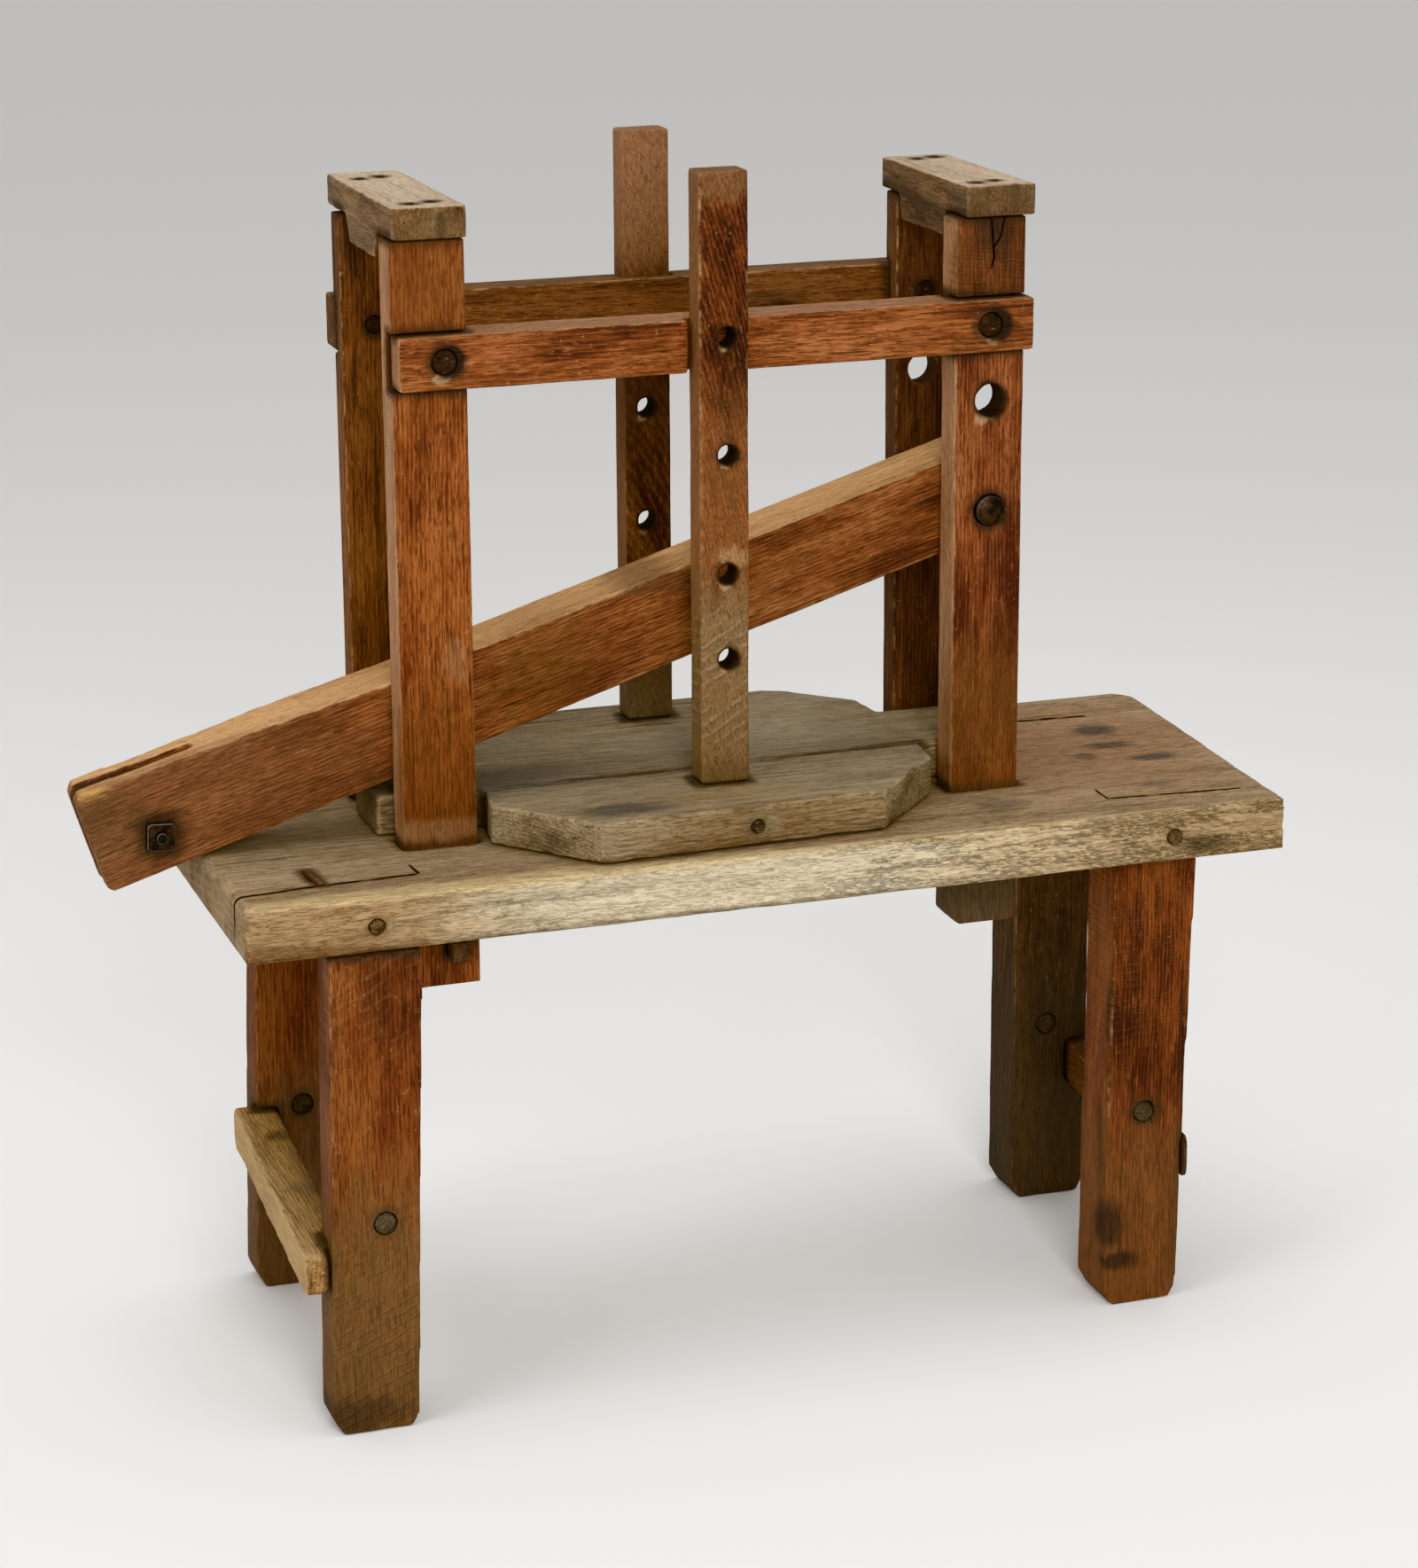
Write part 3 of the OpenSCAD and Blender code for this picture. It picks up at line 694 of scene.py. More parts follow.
BENCH_OAK = replace(
    BOARD_OAK, name="bench_oak", pale=(0.44, 0.315, 0.175), warm=(
        0.300, 0.200, 0.108), deep=(0.100, 0.052, 0.023),
    weathered_and_lit_colour=(
        0.43, 0.320, 0.195
    ), top_face_painted_light=0.50, left_face_painted_light=0.30, torn=1.0, depth=0.0028, edge=(0.58, 0.450, 0.250),
    mottle=0.8, ring=0.011)
BAR_OAK = replace(
    POST_OAK, name="bar_oak", pale=(0.48, 0.290, 0.115), warm=(0.32, 0.165, 0.058), deep=(
        0.072, 0.032, 0.012),
    weathered_and_lit_colour=(0.50, 0.340, 0.170), aged_amount=0.24, contrast=0.6, mottle=1.4)
PEG_OAK = replace(
    POST_OAK, name="peg_oak", pale=(
        0.090, 0.042, 0.018
    ), warm=(0.048, 0.021, 0.009), deep=(0.014, 0.007, 0.004),
    weathered_and_lit_colour=(0.11, 0.075, 0.045), ring=0.003)
PLUG_OAK = replace(
    PEG_OAK, name="plug_oak", pale=(0.130, 0.098, 0.060), warm=(0.075, 0.054, 0.032),
    deep=(0.022, 0.015, 0.009))
WEDGE_OAK = replace(
    POST_OAK, name="wedge_oak", pale=(
        0.55, 0.270, 0.075
    ), warm=(0.40, 0.165, 0.038), deep=(0.14, 0.048, 0.012),
    aged_amount=0.05)
IRON = IronFinish("iron")
STAIN = (0.060, 0.058, 0.055)
SOOT = (0.030, 0.022, 0.016)
TAN = (0.40, 0.235, 0.115)
GREY = (0.25, 0.185, 0.115)


def bores(x: float, heights: Iterable[float], radius: float) -> tuple[Blotch, ...]:
    """Painted shade inside a row of bores, with a dark halo and a pale chip at each rim.

    Args:
        x: how far they lie from the timber's left.
        heights: how high each one is above its foot.
        radius: their radius.

    Returns:
        The stains and the painted shade.
    """
    found: list[Blotch] = []
    for z in heights:
        found.append(
            Blotch(
                (x, 0.0, z), (radius * 1.42, 0.006, radius * 1.42), (0.060, 0.030, 0.016), 0.60, 0.9, 0.40))
        found.append(
            Blotch(
                (x - radius * 0.5, 0.0, z - radius * 1.2), (radius * 0.5, 0.006, radius * 0.35),
                (0.42, 0.28, 0.16), 0.6, 1.0, 0.4))
        # painted shade: the bore's walls are painted near-black through the whole timber
        found.append(
            Blotch(
                (x, 0.0, z), (radius * 1.32, 0.300, radius * 1.32), (0.022, 0.014, 0.009), 0.92, 0.16, 0.16)
        )
    return tuple(found)


# ---------------------------------------------------------------- geometry nodes


class NodeShape:
    """A Geometry Nodes tree built in code, with named inputs."""

    def __init__(self, name: str, inputs: Sequence[tuple[str, str, Any]]) -> None:
        """Starts a tree.

        Args:
            name: the tree's name.
            inputs: each input's name, socket type and default.
        """
        self.tree = bpy.data.node_groups.new(name, "GeometryNodeTree")
        self.tree.interface.new_socket("Geometry", in_out="INPUT", socket_type="NodeSocketGeometry")
        self.ids: dict[str, str] = {}
        for label, kind, default in inputs:
            socket = self.tree.interface.new_socket(label, in_out="INPUT", socket_type=kind)
            if default is not None:
                socket.default_value = default
            self.ids[label] = socket.identifier
        self.tree.interface.new_socket("Geometry", in_out="OUTPUT", socket_type="NodeSocketGeometry")
        self.start = self.tree.nodes.new("NodeGroupInput")
        self.end = self.tree.nodes.new("NodeGroupOutput")

    def value(self, name: str) -> bpy.types.NodeSocket:
        """An input's value inside the tree."""
        return self.start.outputs[name]

    def node(
        self, kind: str, settings: dict[str, Any] | None = None, values: dict[Any, Any] | None = None
    ) -> bpy.types.Node:
        """Adds a node.

        Args:
            kind: the node's type name.
            settings: its own properties, set first.
            values: sockets to link or numbers to set, by name or place among the open ones.

        Returns:
            The node.
        """
        made = self.tree.nodes.new(kind)
        for key, value in (settings or {}).items():
            setattr(made, key, value)
        shown = [s for s in made.inputs if s.enabled]
        for key, value in (values or {}).items():
            socket = shown[key] if isinstance(key, int) else next(s for s in shown if s.name == key)
            if isinstance(value, bpy.types.NodeSocket):
                self.tree.links.new(value, socket)
            else:
                socket.default_value = value
        return made

    def out(self, node: bpy.types.Node, key: int | str = 0) -> bpy.types.NodeSocket:
        """One of a node's open outputs."""
        shown = [s for s in node.outputs if s.enabled]
        return shown[key] if isinstance(key, int) else next(s for s in shown if s.name == key)

    def maths(self, operation: str, a: Any, b: Any = 0.0) -> bpy.types.NodeSocket:
        """A Math node's value."""
        return self.out(self.node("ShaderNodeMath", {"operation": operation}, {0: a, 1: b}))

    def vector(self, operation: str, values: dict[Any, Any], key: int | str = 0) -> bpy.types.NodeSocket:
        """A Vector Math node's result."""
        return self.out(self.node("ShaderNodeVectorMath", {"operation": operation}, values), key)

    def store(
        self, geometry: bpy.types.NodeSocket, name: str, value: bpy.types.NodeSocket
    ) -> bpy.types.NodeSocket:
        """Stores a number at each point of the geometry."""
        settings = {"data_type": "FLOAT", "domain": "POINT"}
        values = {"Geometry": geometry, "Name": name, "Value": value}
        return self.out(self.node("GeometryNodeStoreNamedAttribute", settings, values))

    def close(self, geometry: bpy.types.NodeSocket, material: bpy.types.NodeSocket) -> None:
        """Ends the tree in real geometry with its material."""
        real = self.node("GeometryNodeRealizeInstances", None, {"Geometry": geometry})
        smooth = self.node("GeometryNodeSetShadeSmooth", None, {"Geometry": self.out(real)})
        dressed = self.node(
            "GeometryNodeSetMaterial", None, {"Geometry": self.out(smooth), "Material": material})
        self.tree.links.new(self.out(dressed), self.end.inputs[0])

    def apply(self, obj: bpy.types.Object, values: dict[str, Any]) -> bpy.types.Mesh:
        """Runs the tree on an object.

        Args:
            obj: the object, which loses the modifier again.
            values: the inputs that differ from their defaults.

        Returns:
            The finished mesh.
        """
        modifier = obj.modifiers.new(self.tree.name, "NODES")
        modifier.node_group = self.tree
        for label, value in values.items():
            modifier[self.ids[label]] = value
        mesh = plain_mesh(obj)
        obj.modifiers.remove(modifier)
        return mesh


def plain_mesh(obj: bpy.types.Object) -> bpy.types.Mesh:
    """The object's mesh with its modifiers worked out."""
    bpy.context.view_layer.update()
    graph = bpy.context.evaluated_depsgraph_get()
    seen = obj.evaluated_get(graph)
    return bpy.data.meshes.new_from_object(seen, preserve_all_data_layers=True, depsgraph=graph)


def worn_timber_tree() -> NodeShape:
    """The rule every timber follows: edges rub away in places, and the face dips and lifts with the grain.

    Returns:
        The tree.
    """
    shape = NodeShape("worn_timber", [
        ("Rounding", "NodeSocketInt", 4), (
            "Edge Scale", "NodeSocketFloat", 0.0009
        ), ("Dent Depth", "NodeSocketFloat", 0.0009),
        ("Grain Depth", "NodeSocketFloat", 0.0004), (
            "Grain Scale", "NodeSocketVector", (9.0, 120.0, 120.0)),
        ("Torn Depth", "NodeSocketFloat", 0.0), ("Seed", "NodeSocketFloat", 1.0), (
            "Shade And Grime Reach", "NodeSocketFloat", 0.016),
        ("Neighbours", "NodeSocketObject", None), ("Material", "NodeSocketMaterial", None)])
    place = shape.out(shape.node("GeometryNodeInputPosition"))
    facing = shape.out(shape.node("GeometryNodeInputNormal"))
    blurred = shape.out(
        shape.node(
            "GeometryNodeBlurAttribute", {"data_type": "FLOAT_VECTOR"},
            {0: place, "Iterations": shape.value("Rounding")}))
    base = {"Vector": place, "W": shape.value("Seed")}
    patch = shape.out(
        shape.node("ShaderNodeTexNoise", {"noise_dimensions": "4D"}, {**base, "Scale": 16.0, "Detail": 2.0})
    )
    wear = shape.out(
        shape.node(
            "ShaderNodeMapRange", None,
            {"Value": patch, "From Min": 0.38, "From Max": 0.62, "To Min": 0.30, "To Max": 1.0}))
    worn = shape.out(shape.node("ShaderNodeMix", {"data_type": "VECTOR"}, {0: wear, 1: place, 2: blurred}))
    wide = shape.out(
        shape.node("GeometryNodeBlurAttribute", {"data_type": "FLOAT_VECTOR"}, {0: place, "Iterations": 3}))
    lost = shape.vector("SUBTRACT", {0: place, 1: wide})
    bulge = shape.maths(
        "DIVIDE", shape.vector("DOT_PRODUCT", {0: lost, 1: facing}, "Value"), shape.value("Edge Scale"))
    geometry = shape.start.outputs["Geometry"]
    stored = shape.store(geometry, "edge", shape.maths("MAXIMUM", bulge, 0.0))
    # painted shade with some soiling: points close to other parts of the same body are marked, and the
    # material darkens them
    others = shape.out(
        shape.node("GeometryNodeObjectInfo", None, {"Object": shape.value("Neighbours")}), "Geometry")
    gap = shape.out(
        shape.node("GeometryNodeProximity", {"target_element": "FACES"}, {0: others}), "Distance")
    touch = shape.out(
        shape.node(
            "ShaderNodeMapRange", None,
            {
                "Value": gap, "From Min": 0.0005, "From Max": shape.value("Shade And Grime Reach"), "To Min": 1.0,
                "To Max": 0.0}))
    stored = shape.store(stored, "near", touch)
    # how far each point lies in an inside corner; the material darkens these places
    hollowness = shape.maths("MULTIPLY", shape.maths("MINIMUM", bulge, 0.0), -1.0)
    stored = shape.store(stored, "hollow", hollowness)
    moved = shape.node("GeometryNodeSetPosition", None, {"Geometry": stored, "Position": worn})
    dents = shape.out(
        shape.node("ShaderNodeTexNoise", {"noise_dimensions": "4D"}, {**base, "Scale": 7.0, "Detail": 3.0}))
    fibre_at = shape.vector("MULTIPLY", {0: place, 1: shape.value("Grain Scale")})
    fibre = shape.out(
        shape.node(
            "ShaderNodeTexNoise", {"noise_dimensions": "4D"},
            {"Vector": fibre_at, "W": shape.value("Seed"), "Scale": 1.0, "Detail": 3.0}))
    front = shape.vector("DOT_PRODUCT", {0: facing, 1: (0.0, -1.0, 0.0)}, "Value")
    torn = shape.maths("MULTIPLY", shape.maths("MAXIMUM", front, 0.0), shape.value("Torn Depth"))
    rag = shape.out(
        shape.node("ShaderNodeMapRange", None, {"Value": fibre, "From Min": 0.46, "From Max": 0.66}))
    sink = shape.maths(
        "ADD", shape.maths("MULTIPLY", dents, shape.value("Dent Depth")),
        shape.maths("MULTIPLY", fibre, shape.value("Grain Depth")))
    sink = shape.maths("ADD", sink, shape.maths("MULTIPLY", rag, torn))
    push = shape.vector("SCALE", {0: facing, "Scale": shape.maths("MULTIPLY", sink, -1.0)})
    moved = shape.node("GeometryNodeSetPosition", None, {"Geometry": shape.out(moved), "Offset": push})
    shape.close(shape.out(moved), shape.value("Material"))
    return shape


def peg_tree() -> NodeShape:
    """Pegs on points: each is a whittled round or eight-sided bar, a little out of true.

    Returns:
        The tree.
    """
    shape = NodeShape("whittled_pegs", [
        ("Sides", "NodeSocketInt", 24), (
            "Radius", "NodeSocketFloat", 0.01), ("Length", "NodeSocketFloat", 0.05),
        ("Turn", "NodeSocketVector", (0.0, 0.0, 0.0)), ("Seed", "NodeSocketFloat", 1.0),
        ("Material", "NodeSocketMaterial", None)])
    bar = shape.node(
        "GeometryNodeMeshCylinder", None,
        {
            "Vertices": shape.value("Sides"), "Side Segments": 12, "Fill Segments": 5,
            "Radius": shape.value("Radius"), "Depth": shape.value("Length")})
    spin = shape.out(
        shape.node(
            "FunctionNodeRandomValue", {"data_type": "FLOAT_VECTOR"},
            {"Min": (0.0, 0.0, 0.0), "Max": (0.0, 0.0, 6.28), "Seed": 3}))
    lay = shape.out(shape.node("FunctionNodeEulerToRotation", None, {0: shape.value("Turn")}))
    twist = shape.out(shape.node("FunctionNodeEulerToRotation", None, {0: spin}))
    both = shape.out(
        shape.node("FunctionNodeRotateRotation", {"rotation_space": "LOCAL"}, {0: lay, 1: twist}))
    put = shape.node(
        "GeometryNodeInstanceOnPoints", None,
        {"Points": shape.start.outputs["Geometry"], "Instance": shape.out(bar), "Rotation": both})
    real = shape.node("GeometryNodeRealizeInstances", None, {"Geometry": shape.out(put)})
    place = shape.out(shape.node("GeometryNodeInputPosition"))
    facing = shape.out(shape.node("GeometryNodeInputNormal"))
    rough = shape.out(
        shape.node(
            "ShaderNodeTexNoise", {"noise_dimensions": "4D"},
            {"Vector": place, "W": shape.value("Seed"), "Scale": 190.0, "Detail": 2.0}))
    push = shape.vector("SCALE", {0: facing, "Scale": shape.maths("MULTIPLY", rough, -0.0011)})
    moved = shape.node("GeometryNodeSetPosition", None, {"Geometry": shape.out(real), "Offset": push})
    shape.close(shape.out(moved), shape.value("Material"))
    return shape


# ---------------------------------------------------------------- building


def lever_frame() -> Matrix:
    """Brings the press's frame into the lever's own: the pivot at the origin and the grain along X."""
    return Matrix.Rotation(LEVER_LEAN, 4, "Y") @ Matrix.Translation(-PIVOT)


@dataclass
class Workshop:
    """What every sub-assembly builds with."""

    timber: NodeShape
    pegs: NodeShape
    count: int = 0

    def add(
        self, name: str, mesh: bpy.types.Mesh, body: Body, slot: str, nodes: Sequence[str]
    ) -> bpy.types.Object:
        """Puts a finished mesh in the scene.

        Args:
            name: the piece's name.
            mesh: its mesh, in place.
            body: what it rides on.
            slot: the record's material slot; not used.
            nodes: the frame's nodes that it stands for.

        Returns:
            The piece.
        """
        obj = bpy.data.objects.new(name, mesh)
        mesh.name = name
        bpy.context.scene.collection.objects.link(obj)
        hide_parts(*nodes)
        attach(obj, body.value)
        self.count += 1
        LOG.info("%s: %d faces on %s", name, len(mesh.polygons), body.value)
        return obj

    def blank(self, nodes: Iterable[str], turn: Matrix) -> bpy.types.Object:
        """A merged copy of some of the frame's nodes.

        Args:
            nodes: the nodes.
            turn: brings the press's frame into the timber's own.

        Returns:
            A scratch object.
        """
        bm = bmesh.new()
        for node in nodes:
            bm.from_mesh(frame["nodes"][node].data)
        bmesh.ops.remove_doubles(bm, verts=bm.verts, dist=1e-5)
        bmesh.ops.transform(bm, matrix=turn, verts=bm.verts)
        mesh = bpy.data.meshes.new("blank")
        bm.to_mesh(mesh)
        bm.free()
        mesh.materials.clear()
        obj = bpy.data.objects.new("blank", mesh)
        bpy.context.scene.collection.objects.link(obj)
        return obj

    def wear(
        self, node: str, voxel: float, grain: Grain, material: bpy.types.Material, values: dict[str, Any],
        turn: Matrix | None = None
    ) -> bpy.types.Mesh:
        """Gives a node the shape of a used timber.

        Args:
            node: the frame's node.
            voxel: the size of the mesh's facets in metres.
            grain: which way the grain runs.
            material: its material.
            values: inputs of the worn timber tree.
            turn: brings the press's frame into the timber's own.

        Returns:
            The mesh, in the press's frame.
        """
        turn = turn or Matrix.Identity(4)
        obj = self.blank([node], turn)
        body = frame["nodes"][node].parent
        others = self.blank(
            [name for name, part in frame["nodes"].items() if name != node and part.parent is body], turn)
        cut = obj.modifiers.new("Remesh", "REMESH")
        cut.mode, cut.voxel_size, cut.adaptivity = "VOXEL", voxel, 0.0
        dense = plain_mesh(obj)
        obj.modifiers.remove(cut)
        obj.data = dense
        stretch = {
            Grain.UPRIGHT: (120.0, 120.0, 9.0), Grain.FRONT_TO_BACK: (120.0, 9.0, 120.0)
        }.get(grain, (9.0, 120.0, 120.0))
        mesh = self.timber.apply(
            obj, {"Grain Scale": stretch, "Material": material, "Neighbours": others, **values})
        bpy.data.objects.remove(obj)
        bpy.data.objects.remove(others)
        mesh.transform(turn.inverted())
        return mesh

    def islands(self, node: str) -> list[tuple[Vector, Vector]]:
        """The lowest and highest corner of each separate solid in a node."""
        bm = bmesh.new()
        bm.from_mesh(frame["nodes"][node].data)
        bmesh.ops.remove_doubles(bm, verts=bm.verts, dist=1e-5)
        left, found = set(bm.verts), []
        while left:
            stack, seen = [left.pop()], []
            while stack:
                v = stack.pop()
                seen.append(v.co.copy())
                for edge in v.link_edges:
                    w = edge.other_vert(v)
                    if w in left:
                        left.remove(w)
                        stack.append(w)
            a = np.array(seen)
            found.append((Vector(a.min(0)), Vector(a.max(0))))
        bm.free()
        return sorted(found, key=lambda pair: tuple(pair[0]))


@dataclass
class Timber:
    """One timber: its node, grain, finish and wear, and the node whose corner its stains and painted shade are
    measured from.
    """

    node: str
    body: Body
    slot: str
    grain: Grain
    finish: OakFinish
    pith: Triple = (0.0, 0.05, 0.03)
    voxel: float = 0.0030
    rounding: int = 5
    dents: float = 0.0010
    fibre: float = 0.0005
    torn: float = 0.0
    seed: int = 1
    corner: str = ""

    def build(self, shop: Workshop) -> bpy.types.Object:
        """Makes the timber, cuts its cracks and dresses it.

        Args:
            shop: what it is made with.

        Returns:
            The piece.
        """
        turn = lever_frame() if self.grain is Grain.LEVER else Matrix.Identity(4)
        finish = self.finish.placed(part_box(self.corner or self.node)[0])
        material = finish.material(self.grain, self.pith, float(self.seed))
        values = {
            "Rounding": self.rounding, "Dent Depth": self.dents, "Grain Depth": self.fibre,
            "Torn Depth": self.torn, "Seed": float(self.seed)}
        mesh = shop.wear(self.node, self.voxel, self.grain, material, values, turn)
        if finish.cracks:
            mesh = cut_away(mesh, [crack_cutter(crack) for crack in finish.cracks])
        return shop.add(f"{self.node}_wood", mesh, self.body, self.slot, [self.node])


def cut_away(mesh: bpy.types.Mesh, cutters: Sequence[bpy.types.Object]) -> bpy.types.Mesh:
    """Cuts shapes out of a mesh.

    Args:
        mesh: what is cut.
        cutters: closed shapes, which are removed afterwards.

    Returns:
        The cut mesh.
    """
    obj = bpy.data.objects.new("cutting", mesh)
    bpy.context.scene.collection.objects.link(obj)
    for cutter in cutters:
        step = obj.modifiers.new("Cut", "BOOLEAN")
        step.operation, step.solver, step.object = "DIFFERENCE", "MANIFOLD", cutter
    done = plain_mesh(obj)
    bpy.data.objects.remove(obj)
    for cutter in cutters:
        bpy.data.objects.remove(cutter)
    return done


def crack_cutter(crack: Crack, rise: float = 0.004) -> bpy.types.Object:
    """A thin wedge along a crack.

    Args:
        crack: the crack.
        rise: how far the wedge stands out of the surface.

    Returns:
        The cutter.
    """
    path, width, depth = crack.path, crack.width, crack.depth
    into = Vector(crack.down).normalized()
    points: list[Vector] = []
    for a, b in zip(path, path[1:]):
        start, end = Vector(a), Vector(b)
        steps = max(2, int((end - start).length / 0.012))
        points += [start.lerp(end, i / steps) for i in range(steps)]
    points.append(Vector(path[-1]))
    rng = np.random.default_rng(len(points))
    bm = bmesh.new()
    rows = []
    for i, p in enumerate(points):
        ahead = (points[min(i + 1, len(points) - 1)] - points[max(i - 1, 0)]).normalized()
        side = ahead.cross(into).normalized()
        share = 0.25 + 0.75 * min(1.0, 4 * min(i, len(points) - 1 - i) / len(points))
        half = width / 2 * share * (0.7 + 0.6 * rng.random())
        p = p + side * (rng.random() - 0.5) * 0.0014
        rows.append(
            [
                bm.verts.new(p - into * rise + side * half), bm.verts.new(p - into * rise - side * half),
                bm.verts.new(p + into * depth * (0.6 + 0.4 * share))])
    for a, b in zip(rows, rows[1:]):
        for j in range(3):
            k = (j + 1) % 3
            bm.faces.new((a[j], a[k], b[k], b[j]))
    bm.faces.new(rows[0][::-1])
    bm.faces.new(rows[-1])
    bmesh.ops.triangulate(bm, faces=bm.faces)
    bmesh.ops.recalc_face_normals(bm, faces=bm.faces)
    mesh = bpy.data.meshes.new("crack")
    bm.to_mesh(mesh)
    bm.free()
    obj = bpy.data.objects.new("crack", mesh)
    bpy.context.scene.collection.objects.link(obj)
    return obj


@dataclass
class PegGroup:
    """Pegs of one node, each whittled to the size of its hole."""

    node: str
    body: Body
    slot: str
    finish: OakFinish
    grain: Grain
    sides: int = 24
    seed: int = 1

    def build(self, shop: Workshop) -> bpy.types.Object:
        """Makes the pegs, one size at a time.

        Args:
            shop: what they are made with.

        Returns:
            The piece, with all pegs in one mesh.
        """
        lengthwise = 1 if self.grain is Grain.FRONT_TO_BACK else 2
        turn = (math.pi / 2, 0.0, 0.0) if lengthwise == 1 else (0.0, 0.0, 0.0)
        material = self.finish.material(self.grain, (0.0, 0.0, 0.0), float(self.seed))
        whole = bmesh.new()
        for n, (low, high) in enumerate(shop.islands(self.node)):
            holder = bpy.data.meshes.new("point")
            holder.from_pydata([tuple((low + high) / 2)], [], [])
            obj = bpy.data.objects.new("point", holder)
            bpy.context.scene.collection.objects.link(obj)
            radius = (high.x - low.x) / 2 - 0.00005
            values = {
                "Sides": self.sides, "Radius": radius, "Length": high[lengthwise] - low[lengthwise],
                "Turn": turn, "Seed": float(self.seed + n), "Material": material}
            part = shop.pegs.apply(obj, values)
            whole.from_mesh(part)
            bpy.data.objects.remove(obj)
        mesh = bpy.data.meshes.new(self.node)
        whole.to_mesh(mesh)
        whole.free()
        mesh.materials.append(material)
        return shop.add(f"{self.node}_whittled", mesh, self.body, self.slot, [self.node])


# ---------------------------------------------------------------- sub-assemblies


